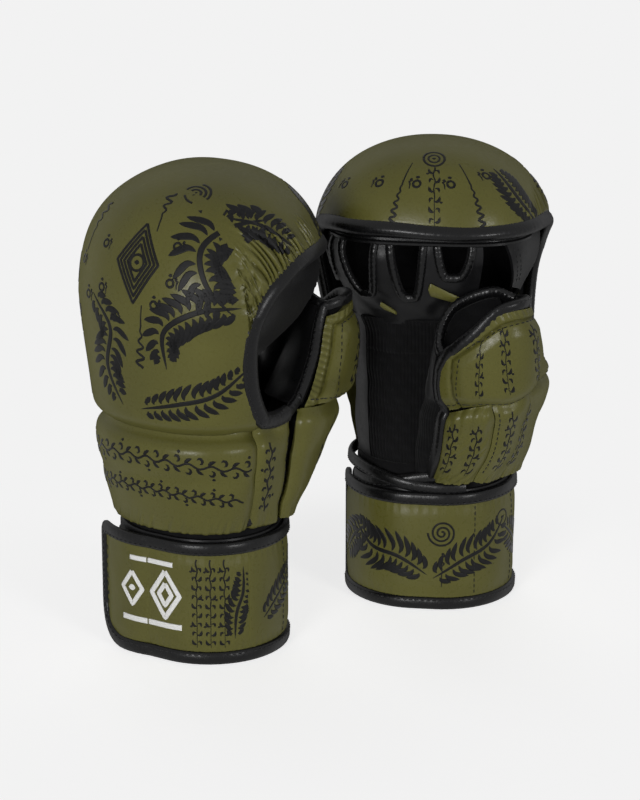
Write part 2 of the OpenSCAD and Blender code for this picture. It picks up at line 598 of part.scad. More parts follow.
// Outline of the free end, seen along the direction in the middle of it
end_view_angle = 228;
end_edge = -strap_r * sin(end_view_angle - end_angle);
module end_outline(inset) {
    corner = strap_corner_r - inset;
    difference() {
        translate([end_edge + inset, strap_z0 + inset])
            square([2 * strap_outer_r, strap_h - 2 * inset]);
        difference() {
            translate([end_edge + inset - 1, strap_z0 + inset - 1])
                square(corner + 1);
            translate([end_edge + inset + corner, strap_z0 + inset + corner])
                circle(corner);
        }
    }
}
module end_prism(inset)
    rotate([0, 0, end_view_angle])
        translate([strap_r / 3, 0, 0])
            rotate([90, 0, 90])
                linear_extrude(strap_r)
                    end_outline(inset);
module end_band(t) band_arc(strap_r, t, strap_z0, strap_z0 + strap_h, end_angle - 12, 270 - joint_gap_angle);
module strap_end() color(olive) lifted() intersection() {
    end_band(strap_t);
    end_prism(strap_binding_w + seat_gap);
}
module strap_end_bindings() color(black) lifted() difference() {
    intersection() {
        end_band(strap_t + strap_binding_proud);
        end_prism(0);
    }
    end_prism(strap_binding_w);
}
module hook_patch() color(cloth_black) lifted()
    band_arc(strap_r - seat_gap - patch_t, patch_t, strap_face_z0 + 4, strap_face_z1 - 4, 213, 236);

// ---------- The pair ----------

pair_step = pair_distance * [cos(pair_direction), sin(pair_direction)];
pair_middle = pair_step / 2 + [7, 1.6];     // middle of the pair's footprint
module placed(side)
    translate(side == "left" ? -pair_middle : pair_step - pair_middle)
        rotate([0, 0, side == "left" ? 0 : pair_turn])
            mirror([side == "left" ? 0 : 1, 0, 0])
                children();

for (side = SIDES) placed(side) {
    knuckle_cover();
    knuckle_foam();
    knuckle_lining();
    back_cover();
    back_foam();
    hand_lining();
    side_strip();
    thumb_tip_cover();
    thumb_tip_foam();
    thumb_base_covers();
    thumb_base_foams();
    thumb_inner_panel();
    thumb_tip_binding();
    edge_bindings();
    side_panels();
    finger_panel();
    finger_loops();
    palm_accents();
    palm_mesh();
    cuff_lining();
    cuff_wrap();
    cuff_binding();
    loop_patch();
    strap_base();
    strap_base_bindings();
    strap_arm();
    strap_arm_bindings();
    strap_end();
    strap_end_bindings();
    hook_patch();
}
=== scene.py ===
import bmesh
import bpy
import numpy as np
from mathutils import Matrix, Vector
from mathutils.bvhtree import BVHTree


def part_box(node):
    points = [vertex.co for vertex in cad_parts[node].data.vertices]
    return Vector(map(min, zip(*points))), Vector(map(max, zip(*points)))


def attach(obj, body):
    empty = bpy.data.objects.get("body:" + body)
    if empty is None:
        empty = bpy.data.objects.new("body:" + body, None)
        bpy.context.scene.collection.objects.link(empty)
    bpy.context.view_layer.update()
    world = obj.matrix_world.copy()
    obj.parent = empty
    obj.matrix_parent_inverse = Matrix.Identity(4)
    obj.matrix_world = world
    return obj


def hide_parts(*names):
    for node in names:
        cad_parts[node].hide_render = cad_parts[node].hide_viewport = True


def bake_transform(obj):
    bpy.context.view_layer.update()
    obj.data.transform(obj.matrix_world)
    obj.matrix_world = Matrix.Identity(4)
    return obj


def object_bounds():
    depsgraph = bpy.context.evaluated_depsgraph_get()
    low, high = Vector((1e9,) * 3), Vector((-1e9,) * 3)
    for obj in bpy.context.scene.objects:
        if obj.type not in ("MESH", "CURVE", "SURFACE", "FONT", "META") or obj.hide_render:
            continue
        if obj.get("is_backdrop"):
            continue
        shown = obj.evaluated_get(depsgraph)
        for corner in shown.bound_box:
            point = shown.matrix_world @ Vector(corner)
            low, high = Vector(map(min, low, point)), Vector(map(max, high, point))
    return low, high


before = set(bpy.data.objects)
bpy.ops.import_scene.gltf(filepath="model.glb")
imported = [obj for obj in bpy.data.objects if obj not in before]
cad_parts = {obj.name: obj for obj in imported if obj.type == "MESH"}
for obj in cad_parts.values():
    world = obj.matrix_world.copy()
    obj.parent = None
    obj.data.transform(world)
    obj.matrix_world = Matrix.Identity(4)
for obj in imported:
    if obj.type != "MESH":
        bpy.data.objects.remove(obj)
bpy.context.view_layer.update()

bl_info = {
    "name": "Padded Sparring Gloves",
    "version": (1, 0, 0),
    "blender": (4, 5, 0),
    "location": "View3D > Sidebar > Gloves",
    "description": "Dresses a pair of padded, open-thumb sparring gloves in leather, cloth and print",
    "category": "Add Mesh",
}

# Every form below is drawn once, in millimetres, as a left glove standing at its own origin:
# +X is the thumb's side, -Y the back of the hand, +Y the palm and +Z the finger ends.
# placed() then puts it where the frame has each glove.
SIDES = ("left", "right")
MM = 0.001
RIGHT_TURN = np.radians(205)


# ---------- Small mathematics ----------

def unit(v):
    return v / np.maximum(np.linalg.norm(v, axis=-1, keepdims=True), 1e-9)


def mix(a, b, t):
    return a + (b - a) * t


def ease(t):
    """Smooth step from 0 to 1."""
    u = np.clip(t, 0, 1)
    return u * u * (3 - 2 * u)


def bell(x, width):
    """Bump of height 1 about 0."""
    return np.exp(-(x / width) ** 2)


def polar(angle, r):
    """Flat points at angles in degrees and distances."""
    a = np.radians(angle)
    return np.stack(np.broadcast_arrays(r * np.cos(a), r * np.sin(a)), -1)


def cubic(p0, p1, p2, p3, t):
    """Smooth curve through four points in a row, between the middle two."""
    return 0.5 * (2 * p1 + (p2 - p0) * t + (2 * p0 - 5 * p1 + 4 * p2 - p3) * t * t
                  + (3 * p1 - p0 - 3 * p2 + p3) * t * t * t)


def by_station(table, key):
    """Smooth rows of a table of stations, at values of their first number."""
    rows = np.asarray(table, float)
    last = len(rows) - 1
    key = np.clip(np.asarray(key, float), rows[0, 0], rows[last, 0])
    i = np.clip(np.searchsorted(rows[:, 0], key, side="right") - 1, 0, last - 1)
    t = ((key - rows[i, 0]) / (rows[i + 1, 0] - rows[i, 0]))[..., None]
    return cubic(rows[np.maximum(0, i - 1)], rows[i], rows[i + 1], rows[np.minimum(last, i + 2)], t)


def smooth_line(nodes, count):
    """Points at even steps along a smooth curve through the nodes."""
    p = np.asarray(nodes, float)
    n = len(p)
    t = np.linspace(0, n - 1, 40 * n + 1)
    i = np.minimum(t.astype(int), n - 2)
    pick = lambda k: p[np.clip(i + k, 0, n - 1)]
    return even_steps(cubic(pick(-1), pick(0), pick(1), pick(2), (t - i)[:, None]), count)


def distances(points, axis=0):
    """Distance run from the start of a line, or of each row or column of a grid."""
    steps = np.linalg.norm(np.diff(points, axis=axis), axis=-1)
    return np.concatenate([np.zeros_like(steps.take([0], axis)), np.cumsum(steps, axis)], axis)


def even_steps(line, count):
    """The same line with points at even distances."""
    run = distances(line)
    at = np.linspace(0, run[-1], count)
    return np.stack([np.interp(at, run, line[:, k]) for k in range(line.shape[1])], -1)


def line_length(line):
    return np.linalg.norm(np.diff(line, axis=0), axis=1).sum()


def dimples(p, size, seed):
    """Soft unevenness between about -1 and 1, with bumps about this many millimetres across."""
    rng = np.random.default_rng(seed)
    total = 0
    for _ in range(6):
        wave = unit(rng.normal(size=3)) * 2 * np.pi / (2 * size * rng.uniform(0.7, 1.4))
        total = total + np.sin(p @ wave + rng.uniform(0, 6.28))
    return total / 3


def normals_of(grid, ring=False):
    """Directions square to a grid of points, to the outside where its columns run clockwise."""
    if ring:
        grid = np.concatenate([grid[:, -1:], grid, grid[:, :1]], 1)
    along = np.gradient(grid, axis=1)
    up = np.gradient(grid, axis=0)
    n = unit(np.cross(along, up))
    return n[:, 1:-1] if ring else n


def normal_of(surface, angle, z):
    """Directions out of a form that is given by angle and height."""
    side = surface(angle + 0.5, z) - surface(angle - 0.5, z)
    return unit(np.cross(side, surface(angle, z + 0.5) - surface(angle, z - 0.5)))


# ---------- Form of the padding ----------

GLOVE_TOP = 264
WIDE_Z = 196            # where the knuckle pad is widest
TUCK_Z = 130            # sewn tuck between the knuckle pad and the pad on the back of the hand
HEM_Z = 74              # lower edge of the pads
CUFF_TOP = 76
PAD_HALF = (66, 61, 56)     # half width, reach behind and reach in front of the wrist's axis
PAD_SQUARENESS = 2.25
PAD_LEAN = 10


def oval_r(angle, half_w, back, front, squareness):
    """Reach of an oval that is deeper on one side than on the other."""
    c, s = np.cos(np.radians(angle)), np.sin(np.radians(angle))
    depth = np.where(s > 0, front, back)
    return ((np.abs(c) / half_w) ** squareness + (np.abs(s) / depth) ** squareness) ** (-1 / squareness)


def pad_scale(z):
    """Size of the padding at a height, where 1 is its widest."""
    over = np.clip((z - WIDE_Z) / (GLOVE_TOP - WIDE_Z), 0, 1)
    under = np.clip((WIDE_Z - z) / (WIDE_Z - CUFF_TOP), 0, None)
    return np.where(z > WIDE_Z, (1 - over ** 2.6) ** (1 / 2.15), 1 - 0.3 * under ** 1.1)


def pad_swell(z):
    """How far the back pad swells, and the sewn tuck draws in."""
    s = np.clip((z - HEM_Z) / (TUCK_Z - HEM_Z), 0, 1)
    return 2 * np.sin(np.pi * s) - 4.5 * bell(z - TUCK_Z, 4.5)


def pad_at(angle, z, depth=0.0):
    """Points of the padding at angles and heights, a depth below its surface."""
    angle, z, depth = np.broadcast_arrays(*(np.asarray(v, float) for v in (angle, z, depth)))
    k, swell = pad_scale(z), pad_swell(z)
    w, b, f = (np.maximum(0.01, (half - depth) * k + extra)
               for half, extra in zip(PAD_HALF, (swell, swell, 0)))
    p = polar(angle, oval_r(angle, w, b, f, PAD_SQUARENESS))
    lean = PAD_LEAN * np.maximum(0, z - TUCK_Z) / (GLOVE_TOP - TUCK_Z)
    return np.stack([p[..., 0], p[..., 1] + lean, z], -1)


# Edge of the knuckle pad as angle and height: over the fingers, down the thumb's side
# and back along the tuck
RIM_EDGE = [
    [192, 130.5], [188, 148], [185, 168], [181, 187], [175, 205], [165, 217], [150, 222],
    [132, 223], [110, 224], [88, 223], [66, 222], [46, 222], [28, 222], [11, 222], [-4, 219.5],
    [-15, 214.5], [-24, 207], [-30, 196], [-32.5, 183], [-31.5, 167], [-28, 152], [-21, 139]]
TUCK_EDGE = [[angle, 130.5] for angle in range(-24, -161, -17)]
DISC_CENTRE = np.array([-0.1, -0.2])


def disc_r(z):
    """A height on the knuckle pad as a distance from the disc's middle."""
    return np.sqrt((GLOVE_TOP - z) / (GLOVE_TOP - TUCK_Z))


def on_disc(q, depth=0.0):
    """The knuckle pad is drawn as a flat disc round its top, and lifted back onto the form."""
    z = GLOVE_TOP - (GLOVE_TOP - TUCK_Z) * (q ** 2).sum(-1)
    p = pad_at(np.degrees(np.arctan2(q[..., 1], q[..., 0])), z, depth)
    p[..., 2] -= depth * ease((p[..., 2] - 223) / (GLOVE_TOP - 223))
    return p


# ---------- Form of the thumb ----------

# Height, middle x and y, half width, half depth
THUMB_STATIONS = [
    [74, 17, 16, 24, 26], [95, 22.5, 27, 27, 27], [112, 26, 35, 27.5, 25.5], [124, 29, 42.5, 28, 23],
    [136, 31.5, 49.5, 29, 20], [152, 33, 55, 28.5, 17.5], [168, 34, 58, 26.5, 16],
    [190, 34, 60, 22, 13.5]]
# Height, angle and reach of the back edge of the thumb's olive side
THUMB_BACK = [
    [74, -23, 36], [86, -33, 38], [112, -47, 42.5], [137, -61, 52], [140, -60, 49], [148, -57, 38],
    [160, -53, 30.5], [172, -49, 24.5], [190, -38, 19.5]]
# Height and angle of its palm edge
THUMB_FRONT = [[74, 128], [92, 126], [106, 128], [118, 134], [130, 147], [140, 156], [160, 158],
               [190, 158]]
THUMB_SEAM = [[-65, 139], [-30, 137], [10, 133], [40, 128.5], [90, 128], [160, 122]]
THUMB_MOUTH = [
    [-60, 181], [-40, 183], [-10, 186], [20, 186.5], [50, 184.5], [80, 179], [105, 173], [130, 166],
    [158, 157], [180, 168], [205, 180], [245, 186], [290, 188], [322, 184]]


def thumb_seam_z(angle):
    return by_station(THUMB_SEAM, angle)[..., 1]


def thumb_mouth_z(angle):
    return by_station(THUMB_MOUTH, angle)[..., 1]


def thumb_at(angle, z, depth=0.0):
    """Points of the thumb's sleeve at angles and heights, a depth below its surface."""
    angle, z, depth = np.broadcast_arrays(*(np.asarray(v, float) for v in (angle, z, depth)))
    s, back = by_station(THUMB_STATIONS, z), by_station(THUMB_BACK, z)
    seam = 3.5 * bell(z - thumb_seam_z(np.minimum(160, angle)), 5) * (angle < 160)
    turn = np.where(angle > 180, back[..., 1] + 360 - angle, angle - back[..., 1])
    reach = back[..., 2] - oval_r(back[..., 1], s[..., 3], s[..., 4], s[..., 4], 2.2)
    r = oval_r(angle, s[..., 3], s[..., 4], s[..., 4], 2.2) + reach * (1 - ease(turn / 60)) - seam - depth
    p = polar(angle, r)
    return np.stack([s[..., 1] + p[..., 0], s[..., 2] + p[..., 1], z], -1)


def thumb_angle(u, z):
    """Angle of a place u across the thumb's olive side, from its back edge to its palm edge."""
    return mix(by_station(THUMB_BACK, z)[..., 1], by_station(THUMB_FRONT, z)[..., 1], u)


# ---------- Form of the black hand compartment ----------

# Height, half width, depth of the palm, squareness
HAND_STATIONS = [
    [74, 39.5, 35, 2.3], [98, 42.5, 36, 2.3], [130, 43, 36.5, 2.4], [160, 44, 37, 2.6],
    [172, 46, 40, 2.8], [184, 51, 46, 3.2], [196, 56, 50, 3.4], [208, 58, 52, 3.4], [220, 55, 51, 3]]
FINGER_OPENINGS = [[73, 195], [101, 182], [129, 183], [156, 188]]
OPENING_HALF = 10
LOOP_TOP = 213
PALM_TOP = 167
FOLD_Z = 149
INDEX_EDGE = [[166, 20], [187, 36], [214, 46]]      # height and angle
MESH_BORDER = [[74, 98], [92, 95], [106, 92], [124, 88], [149, 80], [167, 66]]


def hand_at(angle, z, depth=0.0):
    """Points of the hand compartment at angles and heights, a depth below its surface."""
    angle, z, depth = np.broadcast_arrays(*(np.asarray(v, float) for v in (angle, z, depth)))
    s = by_station(HAND_STATIONS, z)
    p = polar(angle, oval_r(angle, s[..., 1] - depth, s[..., 2] - depth, s[..., 2] - depth, s[..., 3]))
    return np.stack([p[..., 0], p[..., 1], z], -1)


def opening_z(angle, opening, margin):
    """Height of a finger opening's scooped edge."""
    u = np.minimum(1, np.abs(angle - opening[0]) / (OPENING_HALF + margin))
    return mix(opening[1] - margin, LOOP_TOP, u ** 4)


# ---------- Form of the cuff and strap ----------

CUFF_FLAT = 6           # half length of the flat between the cuff's round ends
WRAP_R = 36.3
WRAP_T = 2.6
STRAP_R = 39.2
STRAP_T = 2.6
STRAP_BINDING_W = 7.2
STRAP_BOTTOM = 0.5
STRAP_TOP = 69.5
STRAP_OUTER_R = 43.0
RUN_R = STRAP_R + STRAP_T   # distances round the cuff are measured at the strap's face


def cuff_at(run, z, r):
    """Points at a distance run round the cuff, from the middle of the back towards the thumb."""
    run, z, r = np.broadcast_arrays(*(np.asarray(v, float) for v in (run, z, r)))
    half = np.pi * RUN_R
    lap = 2 * half + 4 * CUFF_FLAT
    u = np.mod(run + CUFF_FLAT, lap) - CUFF_FLAT
    right = (u >= CUFF_FLAT) & (u < CUFF_FLAT + half)
    front = (u >= CUFF_FLAT + half) & (u < 3 * CUFF_FLAT + half)
    left = u >= 3 * CUFF_FLAT + half
    angle = np.select([right, front, left], [
        -np.pi / 2 + (u - CUFF_FLAT) / RUN_R, np.full_like(u, np.pi / 2),
        np.pi / 2 + (u - 3 * CUFF_FLAT - half) / RUN_R], -np.pi / 2)
    centre = np.select([right, front, left], [
        np.full_like(u, CUFF_FLAT), 2 * CUFF_FLAT + half - u, np.full_like(u, -CUFF_FLAT)], u)
    return np.stack([centre + r * np.cos(angle), r * np.sin(angle), z], -1)


def run_at(angle):
    """Distance round the cuff at an angle, measured from the middle of the back."""
    turn = np.radians(angle + 90)
    return CUFF_FLAT + turn * RUN_R + (2 * CUFF_FLAT if angle > 90 else 0)


def cuff_out(run):
    """Directions out of the cuff."""
    return unit(cuff_at(run, 0, 60) - cuff_at(run, 0, 30))


CUFF_ROUND = 2 * np.pi * RUN_R + 4 * CUFF_FLAT
FLAP_CROSS = run_at(104)    # where the cuff's two flaps cross
STRAP_MIDDLE = (STRAP_BOTTOM + STRAP_TOP) / 2
STRAP_START = run_at(178)
ARM_START = run_at(-26)
END_START = -CUFF_FLAT


# ---------- Meshes ----------

def joined(*meshes):
    """Several meshes as one."""
    points, faces, count = [], [], 0
    for p, f in meshes:
        points.append(p)
        faces += [tuple(i + count for i in face) for face in f]
        count += len(p)
    return np.concatenate(points), faces


def grid_faces(rows, cols, ring):
    """Faces between the points of a grid, closed round where it is a ring."""
    index = np.arange(rows * cols).reshape(rows, cols)
    if ring:
        index = np.concatenate([index, index[:, :1]], 1)
    return np.stack([index[:-1, :-1], index[:-1, 1:], index[1:, 1:], index[1:, :-1]], -1).reshape(-1, 4)


def slab(outer, inner, ring=False):
    """Closed mesh between two grids of points with as many rows and columns each."""
    rows, cols = outer.shape[:2]
    n = rows * cols
    skin = grid_faces(rows, cols, ring)
    index = np.arange(n).reshape(rows, cols)
    if ring:
        borders = [np.append(index[0], 0), np.append(index[-1], index[-1, 0])]
    else:
        borders = [np.concatenate([index[0], index[1:, -1], index[-1, -2::-1], index[-2::-1, 0]])]
    walls = [np.stack([b[:-1], b[1:], b[1:] + n, b[:-1] + n], -1) for b in borders]
    faces = np.concatenate([skin, skin[:, ::-1] + n, *walls])
    return np.concatenate([outer.reshape(-1, 3), inner.reshape(-1, 3)]), [tuple(f) for f in faces.tolist()]


def loft(rings, first, last):
    """Closed mesh through rings of points, from a first point to a last one."""
    rows, cols = rings.shape[:2]
    n = rows * cols
    faces = [tuple(f) for f in grid_faces(rows, cols, True).tolist()]
    faces += [(k, n, (k + 1) % cols) for k in range(cols)]
    base = n - cols
    faces += [(base + k, base + (k + 1) % cols, n + 1) for k in range(cols)]
    return np.concatenate([rings.reshape(-1, 3), [first, last]]), faces


def sweep(line, outward, half_w, half_t, gather, seed, squareness=2.4):
    """Folded tape along a line: half_w lies along the surface and half_t stands off it.
    gather is the height of the small wrinkles across it, in millimetres."""
    ahead, behind = np.append(line[1:], line[-1:], 0), np.append(line[:1], line[:-1], 0)
    t = unit(ahead - behind)
    n = unit(outward - (outward * t).sum(-1, keepdims=True) * t)
    b = np.cross(t, n)
    sides = 14
    a = 2 * np.pi * np.arange(sides) / sides
    lobe = lambda v: np.sign(v) * np.abs(v) ** (2 / squareness)
    half_w, half_t = np.broadcast_to(half_w, len(line)), np.broadcast_to(half_t, len(line))
    run = distances(line)
    rng = np.random.default_rng(seed)
    rows = run[:, None] + 1.4 * np.sin(2 * a + rng.uniform(0, 6))[None, :]
    creases = sum(
        np.abs(np.sin(rows * np.pi / pitch + phase + np.sin(rows / (3 * pitch)) * 1.7)) ** 0.6 * share
        for pitch, phase, share in ((2.6, 0.3, 0.6), (4.1, 1.9, 0.4)))
    bulge = np.broadcast_to(gather, len(line))[:, None] * (creases - 0.8)
    rings = (line[:, None] + n[:, None] * (lobe(np.cos(a)) * (half_t[:, None] + bulge))[..., None]
             + b[:, None] * (lobe(np.sin(a)) * (half_w[:, None] + bulge))[..., None])
    return loft(rings, line[0] - t[0] * 0.3 * half_t[0], line[-1] + t[-1] * 0.3 * half_t[-1])


def shape_tree(mesh):
    """Search tree of a mesh, on which stitches and print are laid."""
    return BVHTree.FromPolygons(mesh[0].tolist(), mesh[1])


def laid_on(tree, line):
    """Points of a line moved to the nearest place on a mesh, with the directions out of it there."""
    spots, ups = [], []
    for p in line:
        hit, normal, _, _ = tree.find_nearest(Vector(p))
        away = Vector(p) - hit
        if normal.dot(away) < 0 and away.length > 0.4:
            normal = -normal
        spots.append(hit)
        ups.append(normal)
    return np.array(spots), np.array(ups)


def stitches(line, ups, pitch, length=2.3, radius=0.34):
    """A row of sewn stitches along a line, each a short rounded bar half sunk in the surface."""
    count = max(2, int(line_length(line) / pitch))
    spots = even_steps(np.concatenate([line, ups], 1), count * 2 + 1)
    sides, profile = 6, ((-1, 0.25), (-0.7, 0.85), (0, 1), (0.7, 0.85), (1, 0.25))
    a = 2 * np.pi * np.arange(sides) / sides
    meshes = []
    for k in range(count):
        spot, up = spots[2 * k + 1, :3], unit(spots[2 * k + 1, 3:])
        t = unit(spots[2 * k + 2, :3] - spots[2 * k, :3])
        side = unit(np.cross(t, up))
        up = np.cross(side, t)
        rings = np.array([[
            spot + t * s * length / 2 + radius * g * (np.cos(v) * side + (np.sin(v) + 0.1) * up)
            for v in a] for s, g in profile])
        meshes.append(loft(rings, rings[0].mean(0), rings[-1].mean(0)))
    return joined(*meshes)


# ---------- Putting pieces in the frame ----------

def placed(points, side):
    """Points of the drawing, in millimetres, as points of that side's glove, in metres."""
    low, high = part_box(f"{side}_cuff_wrap")
    middle = (low + high) / 2
    p = np.asarray(points, float) * MM
    if side == "right":
        c, s = np.cos(RIGHT_TURN), np.sin(RIGHT_TURN)
        p = np.stack([-p[..., 0] * c - p[..., 1] * s, -p[..., 0] * s + p[..., 1] * c, p[..., 2]], -1)
    return p + np.array([middle.x, middle.y, 0])


def make_piece(name, mesh, finish, body, nodes=(), bend=None, crease=50):
    """The same piece on both gloves. When bend is given, the piece stays where it is drawn and is not
    attached to body; the joint's other body and the two points that bend holds are not used."""
    points, faces = mesh
    for side in SIDES:
        data = bpy.data.meshes.new(f"{side}_{name}")
        data.from_pydata(placed(points, side).tolist(), [], faces)
        work = bmesh.new()
        work.from_mesh(data)
        bmesh.ops.recalc_face_normals(work, faces=work.faces)
        work.to_mesh(data)
        work.free()
        data.polygons.foreach_set("use_smooth", [True] * len(data.polygons))
        data.set_sharp_from_angle(angle=np.radians(crease))
        data.materials.append(finish)
        piece = bpy.data.objects.new(f"{side}_{name}", data)
        bpy.context.scene.collection.objects.link(piece)
        if bend:
            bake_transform(piece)
        else:
            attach(piece, f"{side}_{body}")
        if nodes:
            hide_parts(*(f"{side}_{node}" for node in nodes))


# ---------- Finishes ----------

def linear(code):
    """An sRGB hex colour as linear red, green, blue and alpha."""
    part = [int(code[i:i + 2], 16) / 255 for i in (1, 3, 5)]
    return tuple(c / 12.92 if c <= 0.04045 else ((c + 0.055) / 1.055) ** 2.4 for c in part) + (1,)


def add(tree, kind, inputs=None, **settings):
    """Adds a node with its settings, and fills or links its inputs."""
    node = tree.nodes.new(kind)
    for key, value in settings.items():
        setattr(node, key, value)
    for key, value in (inputs or {}).items():
        if isinstance(value, bpy.types.NodeSocket):
            tree.links.new(value, node.inputs[key])
        else:
            node.inputs[key].default_value = value
    return node


def new_finish(name):
    """An empty material of that name, or the one that is there already."""
    material = bpy.data.materials.get(name)
    if material:
        return material, None
    material = bpy.data.materials.new(name)
    material.use_nodes = True
    material.node_tree.nodes.clear()
    return material, material.node_tree


def coated_leather(name, colour, shade, roughness, specular, grain_mm, grain_height, wear):
    """Polyurethane-coated split leather, embossed with a fine grain: a satin gloss that breaks up
    over the grain, a slightly uneven tone, painted shade darkening the folds and creases, and paler
    worn ridges. The grain is drawn a little coarser than the real one, of about 0.8 mm, so that it shows."""
    material, tree = new_finish(name)
    if tree is None:
        return material
    place = add(tree, "ShaderNodeTexCoord").outputs["Object"]
    tone = add(tree, "ShaderNodeTexNoise", {"Vector": place, "Scale": 1 / (38 * MM), "Detail": 3.0})
    cells = add(tree, "ShaderNodeTexVoronoi", {
        "Vector": place, "Scale": 1 / (grain_mm * MM), "Randomness": 0.9}, feature="SMOOTH_F1")
    speckle = add(tree, "ShaderNodeTexNoise", {"Vector": place, "Scale": 1 / (2.2 * MM), "Detail": 4.0})
    fold = add(tree, "ShaderNodeNewGeometry").outputs["Pointiness"]
    # Painted shade: this mask picks out the folds and creases, where Pointiness is low
    crease = add(tree, "ShaderNodeMapRange", {
        "Value": fold, "From Min": 0.43, "From Max": 0.485, "To Min": 0.0, "To Max": 1.0})
    ridge = add(tree, "ShaderNodeMapRange", {
        "Value": fold, "From Min": 0.535, "From Max": 0.62, "To Min": 0.0, "To Max": wear})
    even = add(tree, "ShaderNodeMapRange", {
        "Value": tone.outputs["Fac"], "From Min": 0.3, "From Max": 0.7, "To Min": 0.0, "To Max": 1.0})
    toned = add(tree, "ShaderNodeMix", {"Factor": even.outputs["Result"], "A": shade, "B": colour},
                data_type="RGBA")
    # Painted shade: in the folds and creases the colour is darkened to 0.45 of the shade tone
    crease_shaded = add(tree, "ShaderNodeMix", {
        "Factor": crease.outputs["Result"], "A": tuple(0.45 * c for c in shade[:3]) + (1,),
        "B": toned.outputs["Result"]}, data_type="RGBA")
    worn = add(tree, "ShaderNodeMix", {
        "Factor": ridge.outputs["Result"], "A": crease_shaded.outputs["Result"],
        "B": tuple(min(1, 1.8 * c + 0.01) for c in colour[:3]) + (1,)}, data_type="RGBA")
    rough = add(tree, "ShaderNodeMapRange", {
        "Value": speckle.outputs["Fac"], "From Min": 0.3, "From Max": 0.7,
        "To Min": roughness - 0.05, "To Max": roughness + 0.07})
    # Seen along the surface the grain's tops hide its gloss
    turned = add(tree, "ShaderNodeLayerWeight", {"Blend": 0.35}).outputs["Facing"]
    rough = add(tree, "ShaderNodeMapRange", {
        "Value": turned, "From Min": 0.25, "From Max": 0.9,
        "To Min": rough.outputs["Result"], "To Max": 0.95})
    grain = add(tree, "ShaderNodeBump", {
        "Height": cells.outputs["Distance"], "Strength": 0.35, "Distance": grain_height * MM})
    soft = add(tree, "ShaderNodeBump", {
        "Height": speckle.outputs["Fac"], "Strength": 0.3, "Distance": 0.05 * MM,
        "Normal": grain.outputs["Normal"]})
    shader = add(tree, "ShaderNodeBsdfPrincipled", {
        "Base Color": worn.outputs["Result"], "Roughness": rough.outputs["Result"],
        "Specular IOR Level": specular, "Normal": soft.outputs["Normal"]})
    add(tree, "ShaderNodeOutputMaterial", {"Surface": shader.outputs["BSDF"]})
    return material


def woven_cloth(name, colour, thread_mm, roughness, sheen, fuzz):
    """Dyed polyester cloth: matt, with a fine mesh of threads and a faint bloom at its edges.
    Single threads are too fine to show, so the bands stand for about six threads each."""
    material, tree = new_finish(name)
    if tree is None:
        return material
    place = add(tree, "ShaderNodeTexCoord").outputs["Object"]
    weft = add(tree, "ShaderNodeTexWave", {
        "Vector": place, "Scale": 1 / (thread_mm * MM) / 20, "Distortion": 0.6, "Detail": 1.0},
        bands_direction="Z")
    warp = add(tree, "ShaderNodeTexWave", {
        "Vector": place, "Scale": 1 / (thread_mm * MM) / 20, "Distortion": 0.6, "Detail": 1.0},
        bands_direction="DIAGONAL")
    lint = add(tree, "ShaderNodeTexNoise", {"Vector": place, "Scale": 1 / (0.9 * MM), "Detail": 5.0})
    weave = add(tree, "ShaderNodeMath", {0: weft.outputs["Fac"], 1: warp.outputs["Fac"]},
                operation="MULTIPLY")
    height = add(tree, "ShaderNodeMath", {0: lint.outputs["Fac"], 1: fuzz, 2: weave.outputs["Value"]},
                 operation="MULTIPLY_ADD")
    toned = add(tree, "ShaderNodeMix", {
        "Factor": height.outputs["Value"], "A": tuple(0.55 * c for c in colour[:3]) + (1,),
        "B": tuple(1.25 * c for c in colour[:3]) + (1,)}, data_type="RGBA")
    bump = add(tree, "ShaderNodeBump", {
        "Height": height.outputs["Value"], "Strength": 0.6, "Distance": 0.25 * MM})
    shader = add(tree, "ShaderNodeBsdfPrincipled", {
        "Base Color": toned.outputs["Result"], "Roughness": roughness, "Specular IOR Level": 0.12,
        "Sheen Weight": sheen, "Sheen Roughness": 0.5, "Normal": bump.outputs["Normal"]})
    add(tree, "ShaderNodeOutputMaterial", {"Surface": shader.outputs["BSDF"]})
    return material


def screen_ink(name, colour, roughness):
    """Plastisol ink, screen-printed and heat-cured: an even film with a low sheen, thin enough
    to show the leather's grain, and a little worn."""
    material, tree = new_finish(name)
    if tree is None:
        return material
    place = add(tree, "ShaderNodeTexCoord").outputs["Object"]
    rub = add(tree, "ShaderNodeTexNoise", {"Vector": place, "Scale": 1 / (1.6 * MM), "Detail": 5.0})
    worn = add(tree, "ShaderNodeMapRange", {
        "Value": rub.outputs["Fac"], "From Min": 0.55, "From Max": 0.8, "To Min": 0.0, "To Max": 0.5})
    toned = add(tree, "ShaderNodeMix", {
        "Factor": worn.outputs["Result"], "A": colour,
        "B": tuple(0.8 * c + 0.012 for c in colour[:3]) + (1,)}, data_type="RGBA")
    bump = add(tree, "ShaderNodeBump", {
        "Height": rub.outputs["Fac"], "Strength": 0.4, "Distance": 0.08 * MM})
    shader = add(tree, "ShaderNodeBsdfPrincipled", {
        "Base Color": toned.outputs["Result"], "Roughness": roughness, "Specular IOR Level": 0.16,
        "Normal": bump.outputs["Normal"]})
    add(tree, "ShaderNodeOutputMaterial", {"Surface": shader.outputs["BSDF"]})
    return material


